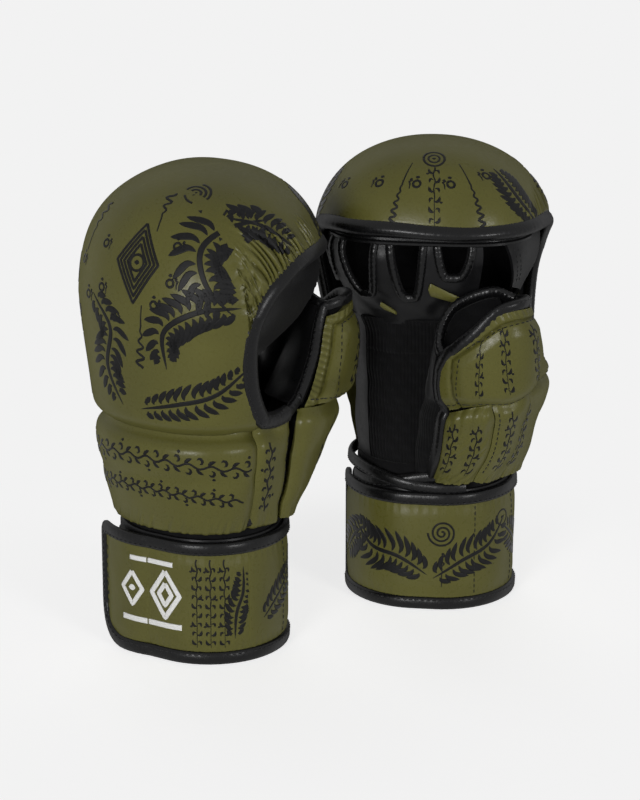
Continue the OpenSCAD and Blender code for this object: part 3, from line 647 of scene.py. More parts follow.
def finishes(settings):
    """The finishes of the gloves, by their short names."""
    olive, black = tuple(settings.olive) + (1,), tuple(settings.black) + (1,)
    darker = lambda c, k: tuple(k * v for v in c[:3]) + (1,)
    return {
        "olive": coated_leather(
            "coated_leather_olive_embossed", olive, darker(olive, 0.84),
            roughness=0.29, specular=0.18, grain_mm=1.3, grain_height=0.12, wear=0.25),
        "black": coated_leather(
            "coated_leather_black_smooth", black, darker(black, 0.8),
            roughness=0.32, specular=0.15, grain_mm=1.1, grain_height=0.07, wear=0.2),
        "binding": coated_leather(
            "binding_tape_black_folded", darker(black, 0.85), darker(black, 0.65),
            roughness=0.27, specular=0.2, grain_mm=0.9, grain_height=0.05, wear=0.3),
        "rib": woven_cloth("rib_knit_polyester_black", linear("#0c0c0d"),
                           thread_mm=0.9, roughness=0.85, sheen=0.05, fuzz=0.6),
        "lining": woven_cloth("brushed_lining_polyester_black", linear("#0b0b0c"),
                              thread_mm=1.2, roughness=0.9, sheen=0.05, fuzz=1.0),
        "hook": woven_cloth("hook_and_loop_nylon_black", linear("#0c0c0d"),
                            thread_mm=1.0, roughness=0.8, sheen=0.1, fuzz=1.4),
        "thread": woven_cloth("bonded_nylon_thread_black", linear("#19191a"),
                              thread_mm=0.4, roughness=0.5, sheen=0.1, fuzz=0.3),
        "ink": screen_ink("plastisol_ink_black_screen_printed", tuple(settings.ink) + (1,), roughness=0.46),
        "white": screen_ink("plastisol_ink_white_screen_printed", tuple(settings.emblem) + (1,),
                            roughness=0.5),
    }


class GloveSettings(bpy.types.PropertyGroup):
    """Sizes and colours of the gloves' dressing."""
    olive: bpy.props.FloatVectorProperty(
        name="Olive leather", description="Colour of the padding's leather", subtype="COLOR",
        size=3, min=0, max=1, default=linear("#5e5c2d")[:3])
    black: bpy.props.FloatVectorProperty(
        name="Black leather", description="Colour of the panels and bindings", subtype="COLOR",
        size=3, min=0, max=1, default=linear("#131314")[:3])
    ink: bpy.props.FloatVectorProperty(
        name="Print", description="Colour of the print on the olive leather", subtype="COLOR",
        size=3, min=0, max=1, default=linear("#0b0b0c")[:3])
    emblem: bpy.props.FloatVectorProperty(
        name="Emblem", description="Colour of the plain ornament on the strap", subtype="COLOR",
        size=3, min=0, max=1, default=linear("#eeeeec")[:3])
    pleat_depth: bpy.props.FloatProperty(
        name="Pleat depth", description="Height of the gathered pleats beside the thumb",
        subtype="DISTANCE", unit="LENGTH", default=2.4 * MM, min=0, max=3 * MM)
    pleat_pitch: bpy.props.FloatProperty(
        name="Pleat spacing", description="Distance from one pleat to the next",
        subtype="DISTANCE", unit="LENGTH", default=3.5 * MM, min=2 * MM, max=9 * MM)
    stitch_pitch: bpy.props.FloatProperty(
        name="Stitch spacing", description="Distance from one stitch to the next",
        subtype="DISTANCE", unit="LENGTH", default=3.3 * MM, min=2 * MM, max=6 * MM)
    rib_pitch: bpy.props.FloatProperty(
        name="Rib spacing", description="Distance from one rib of the palm cloth to the next",
        subtype="DISTANCE", unit="LENGTH", default=2.2 * MM, min=1 * MM, max=4 * MM)
    ink_height: bpy.props.FloatProperty(
        name="Print height", description="How far the print stands off the leather",
        subtype="DISTANCE", unit="LENGTH", default=0.18 * MM, min=0.02 * MM, max=0.5 * MM)


# ---------- Knuckle pad ----------

KNUCKLE_COLS = 620
FOAM_DEPTH = 16.4       # of the knuckle pad's inner face at its middle, under its outer one
LINING_DEPTH = 18.3
PLEAT_ORIGIN = (-125, 232)    # angle and height
PLEATED = (10.6, 20.9)      # part of the edge list along which the pad is gathered


def knuckle_edge():
    """The pad's edge on the disc, its step inwards, and the place of each point in the edge's list."""
    nodes = np.array(RIM_EDGE + TUCK_EDGE, float)
    disc = polar(nodes[:, 0], disc_r(nodes[:, 1]))
    tagged = np.concatenate([on_disc(disc), disc, np.arange(len(disc))[:, None]], 1)
    n = len(tagged)
    t = np.linspace(0, n, 60 * n + 1)
    i = np.minimum(t.astype(int), n - 1)
    u = (t - i)[:, None]
    q = cubic(*(disc[(i + k) % n] for k in (-1, 0, 1, 2)), u)
    line = np.concatenate([on_disc(q), q, t[:, None]], 1)
    run = distances(line[:, :3])
    # Columns stand four times as close along the pleats
    close = 1 + 3 * ((t > PLEATED[0]) & (t < PLEATED[1]))
    spread = np.concatenate([[0], np.cumsum(np.diff(run) * close[1:])])
    at = np.interp(np.linspace(0, spread[-1], KNUCKLE_COLS + 1)[:-1], spread, run)
    even = np.stack([np.interp(at, run, line[:, k]) for k in range(line.shape[1])], -1)
    q, place = even[:, 3:5], even[:, 5]
    t = unit(np.roll(q, -1, 0) - np.roll(q, 1, 0))
    inward = np.stack([t[:, 1], -t[:, 0]], -1)
    mm = np.linalg.norm(on_disc(q + 0.03 * inward) - on_disc(q), axis=-1) / 0.03
    return q, inward / mm[:, None], place, at


def dome_columns(start, ts):
    """Columns over the pad from its edge to the middle of the dome. By the thumb the edge bends back
    past them, so there they follow the edge instead."""
    q = start[None] + (DISC_CENTRE - start)[None] * np.asarray(ts)[:, None, None]
    flat = q.reshape(-1, 2)
    close = np.where((flat[:, 0] > 0.3) & (flat[:, 1] < 0.1))[0]
    p, a, b = flat[close][:, None], start[None], np.roll(start, -1, 0)[None]
    level = (a[..., 1] > p[..., 1]) != (b[..., 1] > p[..., 1])
    rise = np.where(np.abs(b - a)[..., 1] < 1e-12, 1e-12, (b - a)[..., 1])
    left = p[..., 0] < a[..., 0] + (b - a)[..., 0] * (p[..., 1] - a[..., 1]) / rise
    beyond = close[(level & left).sum(1) % 2 == 0]
    nearest = np.linalg.norm(flat[beyond][:, None] - start[None], axis=-1).argmin(1)
    flat[beyond] = start[nearest]
    return q


def pleats(q, surface, settings):
    """Height of the gathered pleats at points of the knuckle pad. They run from the rim by the thumb
    towards a place high on the back of the hand."""
    edge, _, places, runs = knuckle_edge()
    chosen = (places > PLEATED[0]) & (places < PLEATED[1])
    rim, places, runs = edge[chosen], places[chosen], runs[chosen]
    origin = polar(PLEAT_ORIGIN[0], disc_r(PLEAT_ORIGIN[1]))
    bearing = lambda p: np.arctan2((p - origin)[..., 1], (p - origin)[..., 0])
    order = np.argsort(bearing(rim))
    look = bearing(q)
    find = lambda values: np.interp(look, bearing(rim)[order], values[order])
    place, run = find(places), find(runs)
    foot = on_disc(np.stack([find(rim[:, 0]), find(rim[:, 1])], -1))
    d = np.linalg.norm(surface - foot, axis=-1)
    pitch = settings.pleat_pitch / MM
    # They fork and lean a little as they run out over the pad
    phase = (run / pitch + 0.33 * np.sin(0.29 * run + 1.3) + 0.22 * np.sin(0.11 * d + 0.5 * run)
             + 0.3 * np.sin(0.071 * d + 0.23 * run + 2))
    number = np.floor(phase)
    own = np.abs(np.sin(number * 12.9898) * 43758.5453) % 1
    strength = by_station([[10.6, 0], [11.6, 0.2], [12.8, 0.55], [14, 0.95], [15, 1], [17.6, 1], [18.6, 0.7],
                           [19.6, 0.3], [20.6, 0]], place)[..., 1]
    reach = by_station([[10.6, 12], [12.5, 20], [14, 34], [16, 42], [18.5, 40], [20, 24],
                        [20.9, 12]], place)[..., 1]
    own_reach = reach * (0.6 + 0.55 * own)
    near = 0.2 + 0.8 * ease((d - 3) / 5)
    fade = ease((own_reach - d) / (0.75 * own_reach)) * near
    shared = ease((reach - d) / (0.8 * reach)) * near
    ridge = np.abs(np.sin(np.pi * phase)) ** 0.7 * fade * (0.7 + 0.6 * own) - 0.7 * shared
    small = (np.abs(np.sin(np.pi * (2.37 * phase + 0.4))) - 0.6) * ease((14 - d) / 10) * 0.25
    return settings.pleat_depth / MM * strength * (ridge + small)


def knuckle_mesh(settings):
    q0, inward, place, _ = knuckle_edge()
    on_rim = ease((21.6 - place) / 0.5) * ease(place / 0.4)
    start = q0 + inward * mix(0.15, 1.0, on_rim)[:, None]
    ts = np.linspace(0, 1, 106)[:-1] ** 1.15
    q = dome_columns(start, ts)
    surface = on_disc(q)
    inset = distances(surface)
    depth = mix(1.2, 2.2, on_rim) * np.clip(1 - inset / 3, 0, 1) ** 2
    normal = unit(on_disc(q, -1.5) - on_disc(q, 1.5))
    height = pleats(q, surface, settings) + 0.35 * dimples(surface, 34, 5) * ease(inset / 14)
    # The cover is drawn tight along the rim
    outer = surface + normal * (height - depth)[..., None]
    inner_ts = np.array([0, 0.02, 0.05, 0.09, 0.13, 0.17, 0.21, 0.25, 0.32, 0.5, 0.8])
    inner_depth = mix(4.0, FOAM_DEPTH, ease(inner_ts / 0.3))[:, None]
    inner = on_disc(dome_columns(start, inner_ts), inner_depth)
    top = on_disc(DISC_CENTRE)
    under = on_disc(DISC_CENTRE, np.array(FOAM_DEPTH))
    return loft(np.concatenate([outer[::-1], inner]), top, under)


def knuckle_lining_mesh():
    q0, inward, _, _ = knuckle_edge()
    start = q0[::2] + inward[::2] * 0.2
    ts = np.concatenate([[0, 0.001, 0.002], np.linspace(0.004, 0.97, 30)])
    q = dome_columns(start, ts)
    depth = np.concatenate([[1.6, 3.5], mix(5.6, LINING_DEPTH, ease(ts[2:] / 0.3))])[:, None]
    outer = on_disc(q, depth + 0.5 * dimples(on_disc(q), 13, 8) * ease(ts / 0.1)[:, None])
    inner = on_disc(q, depth + 1.7)
    return loft(np.concatenate([outer[::-1], inner]), on_disc(DISC_CENTRE, np.array(LINING_DEPTH)),
                on_disc(DISC_CENTRE, np.array(LINING_DEPTH + 1.2)))


# ---------- Back of the hand ----------

def seam_dip(distance, depth, width):
    """How far leather dips beside a sewn seam, at a distance from it in millimetres."""
    return depth * np.exp(-(np.abs(distance) / width) ** 1.3)


def hem_rows(top, count):
    """Heights and depths of rows from under the turned hem up to a top."""
    turned = [(78.5, 5.0), (75.6, 4.4), (74.2, 3.2), (73.6, 1.9), (73.9, 0.8), (74.8, 0.15)]
    rise = [(z, 0.0) for z in np.linspace(75.8, top, count)]
    return np.array(turned + rise)


def gathers(run, z, seed):
    """Small wrinkles where a pad is gathered into the cuff."""
    rng = np.random.default_rng(seed)
    total = 0
    for pitch in (5.3, 8.1, 3.4):
        turn = np.pi * run / pitch + rng.uniform(0, 6) + 0.5 * np.sin(run / 11)
        total = total + np.abs(np.sin(turn)) ** 0.8
    return (total / 3 - 0.6) * 1.5 * ease((86 - z) / 11)


# Rows over the top of the back pad, down into the tuck behind the knuckle pad
TUCKED_ROWS = [(130.4, 1.0), (131.3, 2.8), (131.8, 5.0), (131.0, 8.0)]


def back_mesh():
    rows = np.concatenate([hem_rows(129.6, 56), TUCKED_ROWS])
    angles = np.linspace(-164.3, -21.6, 190)
    z, depth = rows[:, 0][:, None], rows[:, 1][:, None]
    surface = pad_at(angles[None], z, 0)
    normal = normal_of(pad_at, angles[None], z)
    r = np.linalg.norm(surface[..., :2], axis=-1)
    run = np.radians(angles)[None] * r
    beside = np.minimum(run[:, -1:] - run, run - run[:, :1])
    # A soft second fold lies across the lower half of the pad
    fold = -0.8 * bell(z - 103 + 3 * np.sin(np.radians(angles[None]) * 1.4), 4.5) + 0.5 * bell(z - 116, 8)
    height = (gathers(run, z, 3) + fold + 0.3 * dimples(surface, 22, 6)
              - seam_dip(beside, 2.2, 3.0) - seam_dip(129.6 - z, 0.9, 1.6))
    outer = surface + normal * (height - depth)[..., None]
    inner = surface - normal * (9.6 + 0 * depth)[..., None]
    inner[..., 2] = np.clip(inner[..., 2], 79, 124)
    return slab(outer, inner)


STRIP_TOP = 133


def strip_end_angle(z):
    s, b = by_station(THUMB_STATIONS, z), by_station(THUMB_BACK, z)
    p = s[..., 1:3] + polar(b[..., 1], b[..., 2])
    return np.degrees(np.arctan2(p[..., 1], p[..., 0])) - 0.4


def strip_mesh():
    rows = hem_rows(STRIP_TOP + 2, 50)
    z, depth = rows[:, 0][:, None], rows[:, 1][:, None]
    u = np.linspace(0, 1, 26)[None]
    angle = mix(-21.2, strip_end_angle(z), u)
    surface = pad_at(angle, z, 0)
    normal = normal_of(pad_at, angle, z)
    # Its far edge comes down to meet the back edge of the thumb
    meeting = thumb_at(thumb_angle(0, z), z, 0.4)
    surface = surface + ease((u - 0.45) / 0.55)[..., None] * (meeting - surface[:, -1:])
    width = np.linalg.norm(surface[:, -1:] - surface[:, :1], axis=-1)
    run = u * width
    beside = np.minimum(run, width - run)
    height = gathers(run, z, 4) * 0.6 - seam_dip(beside, 2.2, 2.4) + 0.25 * dimples(surface, 12, 9)
    outer = surface + normal * (height - depth)[..., None]
    inner = surface - normal * 3.4
    inner[..., 2] = np.maximum(inner[..., 2], 79)
    return slab(outer, inner)


# ---------- Thumb ----------

def thumb_grid(u, low, high, v):
    """Points of the thumb's olive side: u across it, and v from one of two lines to the other."""
    angle = thumb_angle(u, 140)
    z = mix(low(angle), high(angle), v)
    return thumb_at(thumb_angle(u, z), z)


def thumb_pad(u0, u1, low, high, cols, rows, shape, inner_depth=6.5):
    """A padded part of the thumb's olive side; shape gives heights from distances to its borders."""
    u, v = np.linspace(u0, u1, cols)[None], np.linspace(0, 1, rows)[:, None]
    surface = thumb_grid(u + 0 * v, low, high, v + 0 * u)
    normal = normals_of(surface)
    across, along = distances(surface, 1), distances(surface)
    height = shape(across, across[:, -1:] - across, along, along[-1:] - along, surface)
    outer = surface + normal * height[..., None]
    inner = surface - normal * inner_depth
    return slab(outer, inner)


TIP_STRIP_MM = 6.0      # flat margin of the tip pad beside its bound edges


def tip_shape(left, right, down, up, p):
    # The pillow is sewn in with a flat, gathered margin round its back, its top and its palm side
    ring = np.minimum(np.minimum(left - TIP_STRIP_MM, right - 8.5), up - TIP_STRIP_MM)
    pillow = 1.6 * ease(ring / 9) - 1.5 * bell(ring, 1.1)
    tucks = (np.abs(np.sin(np.pi * (down + 0.6 * left) / 3.6)) - 0.5) * 0.7 * ease(
        (TIP_STRIP_MM + 1 - left) / 4)
    pulled = (np.abs(np.sin(np.pi * left / 4.3)) - 0.5) * 0.5 * ease((TIP_STRIP_MM + 1 - up) / 4)
    return pillow + tucks + pulled - seam_dip(down, 1.0, 2.0) + 0.25 * dimples(p, 12, 11)


def base_shape(seed, wrinkle):
    def shape(left, right, down, up, p):
        beside = np.minimum(left, right)
        turn = 0.55 * left + 0.25 * down + np.sin(0.21 * down)
        folds = wrinkle * (0.55 * np.abs(np.sin(turn)) ** 1.4 - 0.2)
        z = p[..., 2]
        hem = gathers(left * 1.3 + 4, z, seed) * 0.8
        return (0.9 * ease(beside / 9) * ease(up / 9) - seam_dip(beside, 1.5, 2.2) - seam_dip(up, 1.0, 2.0)
                + folds * ease(beside / 6) + hem + 0.3 * dimples(p, 13, seed))
    return shape


def above_seam(angle):
    return thumb_seam_z(angle) + 0.5


def below_seam(angle):
    return thumb_seam_z(angle) - 0.5


def to_mouth(angle):
    return thumb_mouth_z(angle) - 2.6


def from_hem(angle):
    return HEM_Z + 2.0 + 0 * angle


HEEL_SEAM_U = 0.6


def thumb_base_meshes():
    return [thumb_pad(u0, u1, from_hem, below_seam, cols, 90, shape) for u0, u1, cols, shape in (
        (0.012, HEEL_SEAM_U - 0.004, 110, base_shape(21, 0.12)),
        (HEEL_SEAM_U + 0.004, 0.97, 80, base_shape(22, 1.0)))]


def thumb_tip_mesh():
    return thumb_pad(0.03, 0.97, above_seam, to_mouth, 170, 96, tip_shape)


def palm_web_mesh():
    """Cloth from the border of the palm up to the bound palm edge of the thumb."""
    s, z = np.linspace(0, 1, 40)[None, :, None], np.linspace(HEM_Z + 4, 150, 60)[:, None]
    low = hand_at(by_station(MESH_BORDER, z)[..., 1] + 3, z, 0.6)[:, :, None][:, 0]
    high = thumb_at(thumb_angle(1, z), z, 3.0)
    web = mix(low, high, s)
    across = unit(high - low)
    out = unit(np.cross(across, np.gradient(low, axis=0)))
    sag = 2.6 * np.sin(np.pi * s[..., 0]) + 0.5 * dimples(web, 9, 57)
    ribs = 0.3 * np.abs(np.sin(np.pi * s[..., 0] * np.linalg.norm(high - low, axis=-1) / 2.2))
    outer = web + out * (ribs - sag)[..., None]
    return slab(outer, outer - out * 1.2)


def thumb_inner_mesh():
    u, v = np.linspace(0, 1, 60)[None], np.linspace(0, 1, 40)[:, None]

    def inner_angle(side, z):
        return mix(by_station(THUMB_FRONT, z)[..., 1], by_station(THUMB_BACK, z)[..., 1] + 360, side)
    side = mix(0.03, 0.97, u) + 0 * v
    angle = inner_angle(side, 170.0)
    z = mix(mix(128, thumb_seam_z(-60) + 2, ease(side)), thumb_mouth_z(angle) - 2.4, v)
    surface = thumb_at(inner_angle(side, z), z)
    normal = normals_of(surface)
    outer = surface + normal * (0.5 * dimples(surface, 12, 31))[..., None]
    return slab(outer, surface - normal * 1.6)


def thumb_lining_mesh():
    angles = np.linspace(-60, 300, 121)[:-1][None]
    v = np.linspace(0, 1, 50)[:, None]
    mouth = thumb_mouth_z(np.where(angles > 322, angles - 360, angles))
    z = mix(88, mouth - 3, v)
    surface = thumb_at(angles + 0 * v, z, mix(8.5, 3.6, ease((v - 0.8) / 0.2)))
    normal = normals_of(surface, ring=True)
    outer = surface + normal * (0.6 * dimples(surface, 9, 32) * ease(v / 0.2))[..., None]
    return slab(outer, surface - normal * 1.2, ring=True)


# ---------- Bound edges ----------

RIM_BINDING = (4.6, 3.4)    # half width and half thickness of the long bound edge
BINDING_SINK = 1.9


def rim_line(count=520):
    """Middle of the long binding: along the pad's rim and on under the thumb."""
    fine = smooth_line(RIM_EDGE + [[-15, 136.2], [-6, 135.6], [1, 136.5]], 900)
    return even_steps(pad_at(fine[:, 0], fine[:, 1], BINDING_SINK), count)


def outward_from(line, middle):
    """Level directions from a middle line to a line."""
    out = line - middle
    out[:, 2] = 0
    return unit(out)


def pad_normals(line):
    """Directions out of the padding at points on it."""
    out = line - np.array([0, 0, 175])
    out[:, 2] *= np.where(line[:, 2] > 196, 1.0, 0.15)
    return unit(out)


def rim_binding_mesh():
    line = rim_line()
    run = np.linspace(0, 1, len(line))
    gather = 0.12 + 0.38 * bell(run - 0.955, 0.06) + 0.12 * bell(run - 0.62, 0.1)
    return line, sweep(line, pad_normals(line), *RIM_BINDING, gather=gather, seed=41)


def thumb_edge_line(side, z0, z1, count, depth):
    z = np.linspace(z0, z1, count)
    return thumb_at(thumb_angle(side, z), z, depth)


def mouth_line(a0, a1, count, depth):
    angle = np.linspace(a0, a1, count)
    return thumb_at(angle, thumb_mouth_z(angle), depth)


def thumb_binding_lines():
    back = thumb_edge_line(0, float(thumb_seam_z(-60)) + 1, 177, 12, 1.8)
    mouth = mouth_line(-40, 150, 24, 1.8)
    front = thumb_edge_line(1, 149, float(thumb_seam_z(150)) - 0.5, 8, 1.8)
    outer = smooth_line(np.concatenate([back, mouth, front]), 360)
    inner = smooth_line(mouth_line(160, 318, 20, 1.8), 170)
    return outer, inner


def palm_edge_line():
    return smooth_line(thumb_edge_line(1, float(thumb_seam_z(150)) - 1, HEM_Z + 3, 12, 1.8), 110)


def thumb_middle(line):
    s = by_station(THUMB_STATIONS, np.clip(line[:, 2], 100, 190))
    return np.stack([s[:, 1], s[:, 2], line[:, 2]], -1)


# ---------- Print ----------
# Generic ornament only: leaf fronds, waves, rings, spirals, lozenges and dots.

def tapered(points, width, count=None):
    """A stroke with pointed ends, as points and half widths."""
    line = smooth_line(points, count or max(5, int(line_length(np.asarray(points, float)) / 1.1)))
    t = np.linspace(0, 1, len(line))
    return line, np.maximum(0.12, width / 2 * np.sin(np.pi * t) ** 0.6)


def even_stroke(points, width, closed=False):
    p = np.asarray(points, float)
    if closed:
        p = np.concatenate([p, p[:1]])
    corners = [p[0]]
    for a, b in zip(p[:-1], p[1:]):
        steps = max(2, int(np.linalg.norm(b - a) / 1.2))
        corners += [mix(a, b, k / steps) for k in range(1, steps + 1)]
    line = np.array(corners)
    return line, np.full(len(line), width / 2)


def frond(stem, pairs, reach, width, lean=58, curl=0.35):
    """A leaf frond: a tapered stem with pairs of curved blades."""
    spine = smooth_line(stem, 60)
    strokes = [tapered(stem, width * 0.8)]
    for k in range(pairs):
        t = 0.06 + 0.9 * k / pairs
        i = int(t * 59)
        along = unit(spine[min(59, i + 1)] - spine[max(0, i - 1)])
        length = reach * np.sin(np.pi * (0.12 + 0.85 * t)) ** 0.7
        for hand in (-1, 1):
            a = np.radians(lean * hand)
            way = np.array([along[0] * np.cos(a) - along[1] * np.sin(a),
                            along[0] * np.sin(a) + along[1] * np.cos(a)])
            tip = spine[i] + way * length
            bow = spine[i] + way * length * 0.5 - along * length * curl * 0.5
            strokes.append(tapered([spine[i] + way * width * 0.6, bow, tip], width))
    return strokes


def spiral(turns, r, width):
    t = np.linspace(0.06, 1, int(26 * turns))
    a = 2 * np.pi * turns * t
    return [(np.stack([r * t * np.cos(a), r * t * np.sin(a)], -1), np.full(len(t), width / 2))]


def ring(r, width):
    a = np.linspace(0, 2 * np.pi, max(12, int(6 * r)))
    return [(np.stack([r * np.cos(a), r * np.sin(a)], -1), np.full(len(a), width / 2))]


def lozenges(sizes, width, slim=0.62):
    return [even_stroke([[0, s], [slim * s, 0], [0, -s], [-slim * s, 0]], width, closed=True) for s in sizes]


def wave(length, swing, pitch, width):
    """A wavy line that starts as a thin point and swings wider."""
    t = np.linspace(0, 1, int(length / 0.8))
    x = swing * np.sin(2 * np.pi * length * t / pitch) * ease((t - 0.25) / 0.6)
    return [(np.stack([x, length * (t - 0.5)], -1), width / 2 * (0.35 + 0.65 * t))]


def scroll_row(length, pitch, size, width):
    """A running vine: a wavy stem with a hooked tendril and a leaf at every turn."""
    along = np.linspace(-length / 2, length / 2, int(length / 1.1))
    strokes = [(np.stack([along, 0.35 * size * np.sin(np.pi * along / pitch)], -1),
                np.full(len(along), width * 0.4))]
    for k in range(int(length / pitch)):
        x, up = (k + 0.5) * pitch - length / 2, 1 if k % 2 else -1
        a = np.linspace(0, 1.35 * np.pi, 9)
        hook = np.stack([x + 0.5 * size * np.sin(a), up * size * (0.95 - 0.5 * np.cos(a))], -1)
        strokes.append(tapered(hook, width * 1.1))
        strokes.append(tapered([[x - 0.6 * size, -up * 0.2 * size], [x - 0.1 * size, -up * 0.9 * size],
                                [x + 0.7 * size, -up * 1.25 * size]], width * 1.3))
        if k % 3 == 1:
            strokes += moved(dot(width * 1.2), x=x + 0.4 * size, y=up * 2.1 * size)
    return strokes


def chain(length, pitch, size, width):
    """An upright vine: a thin wavy stem with curled leaves to either side, and a bud now and then."""
    strokes = moved(wave(length, size * 0.22, pitch * 1.6, width * 0.7))
    for k in range(int(length / pitch)):
        y, side = (k + 0.5) * pitch - length / 2, 1 if k % 2 else -1
        strokes.append(tapered([[0, y - 0.3 * size], [side * 0.9 * size, y - 0.2 * size],
                                [side * 1.25 * size, y + 0.9 * size]], width * 1.25))
        strokes.append(tapered([[-side * 0.2 * size, y + 0.3 * size], [-side * 0.9 * size, y + 0.5 * size],
                                [-side * 1.1 * size, y - 0.5 * size]], width))
        if k % 3 == 2:
            strokes += moved(dot(width * 1.1), x=side * 1.5 * size, y=y - 0.5 * size)
    return strokes


def dot(size):
    return [tapered([[-size / 2, 0], [0, size * 0.05], [size / 2, 0]], size * 0.9, count=6)]


def moved(strokes, x=0.0, y=0.0, turn=0.0):
    a = np.radians(turn)
    spin = np.array([[np.cos(a), np.sin(a)], [-np.sin(a), np.cos(a)]])
    return [(p @ spin + [x, y], w) for p, w in strokes]


def dome_chart(angle, z):
    """Lays a drawing on the knuckle pad, about an angle and a height, true to length up the dome
    and round it."""
    r = np.linspace(0.03, 1, 200)
    line = on_disc(polar(angle, r))
    down = distances(line)
    round_mm = np.linalg.norm(on_disc(polar(angle + 1, r)) - on_disc(polar(angle - 1, r)), axis=-1) / 2
    level = np.interp(disc_r(z), r, down)

    def chart(xy):
        at = np.interp(level - xy[..., 1], down, r)
        q = polar(angle + xy[..., 0] / np.interp(at, r, round_mm), at)
        inside, beyond = on_disc(q, 6.0), on_disc(q, -6.0)
        n = unit(beyond - inside)
        return inside + 14 * n, -n
    return chart


def wrapped_chart(to_angle, surface, reach=6):
    """Wraps a drawing round a form: its x becomes an angle and its y a height."""
    def chart(xy):
        angle, z = to_angle(xy[..., 0], xy[..., 1])
        n = normal_of(surface, angle, z)
        return surface(angle, z) + reach * n, -n
    return chart


def strap_chart(middle, height, on_end=False):
    """Wraps a drawing round the cuff, about a distance run and a height, or round the free end
    as if it lay there."""
    def chart(xy):
        run, z = middle + xy[..., 0], height + xy[..., 1]
        if on_end:
            turn = 270 - END_VIEW + np.degrees((run - END_START) / RUN_R)
            x = STRAP_R * np.sin(np.radians(turn))
            inside, beyond = end_at(x, z, STRAP_R), end_at(x, z, STRAP_OUTER_R + 6)
            # Past the joint there is nothing to print on
            inside = inside + np.where(turn > END_JOINT - END_VIEW, 500.0, 0)[..., None]
        else:
            inside, beyond = cuff_at(run, z, STRAP_R), cuff_at(run, z, STRAP_OUTER_R + 6)
        n = unit(beyond - inside)
        return inside + 12 * n, -n
    return chart


def inked(strokes, chart, tree, lift):
    """Thin closed ribbons of ink on a mesh, where the strokes' points meet it."""
    meshes = []
    for line, half in strokes:
        across = np.linspace(-1, 1, int(np.clip(np.ceil(half.max() / 0.4), 1, 6)) * 2 + 1)
        fine = np.linspace(0, len(line) - 1, 2 * len(line) - 1)
        at = np.arange(len(line))
        line = np.stack([np.interp(fine, at, line[:, k]) for k in (0, 1)], -1)
        half = np.interp(fine, at, half)
        t = np.gradient(line, axis=0)
        side = unit(np.stack([-t[:, 1], t[:, 0]], -1))
        xy = line[:, None] + side[:, None] * (half[:, None] * across)[..., None]
        origins, ways = chart(xy)
        rows, run = [], []
        for o_row, w_row in zip(origins, ways):
            hits = [tree.ray_cast(Vector(o), Vector(w), 90) for o, w in zip(o_row, w_row)]
            if any(h[0] is None or h[1].dot(Vector(w)) > 0.15 for h, w in zip(hits, w_row)):
                rows.append(run)
                run = []
                continue
            rise = np.where(np.abs(across) == 1, -0.04, lift)
            run.append([np.array(h[0]) + r * np.array(h[1]) for h, r in zip(hits, rise)])
        rows.append(run)
        for strip in rows:
            if len(strip) < 3:
                continue
            strip = np.array(strip)
            if np.linalg.norm(np.diff(strip, axis=0), axis=-1).max() > 5:
                continue
            meshes.append(loft(strip, strip[0].mean(0), strip[-1].mean(0)))
    return joined(*meshes)


# ---------- Operators ----------

AMBIENT = 0.05
# Name, strength, width in degrees and the way to each lamp
LAMPS = (("key", 2.2, 22, (0.16, -0.97, 0.08)), ("fill", 0.9, 16, (0.94, -0.33, 0.14)),
         ("back", 0.9, 60, (-0.6, 0.78, 0.16)))


def add_seen(tree):
    """1 for what the camera, reflections and clear parts see, and 0 for light that falls on things."""
    path = add(tree, "ShaderNodeLightPath").outputs
    seen = path["Is Camera Ray"]
    for kind in ("Is Glossy Ray", "Is Transmission Ray"):
        seen = add(tree, "ShaderNodeMath", {0: seen, 1: path[kind]}, operation="MAXIMUM").outputs["Value"]
    return seen


def settings_of(context):
    return context.scene.glove_settings


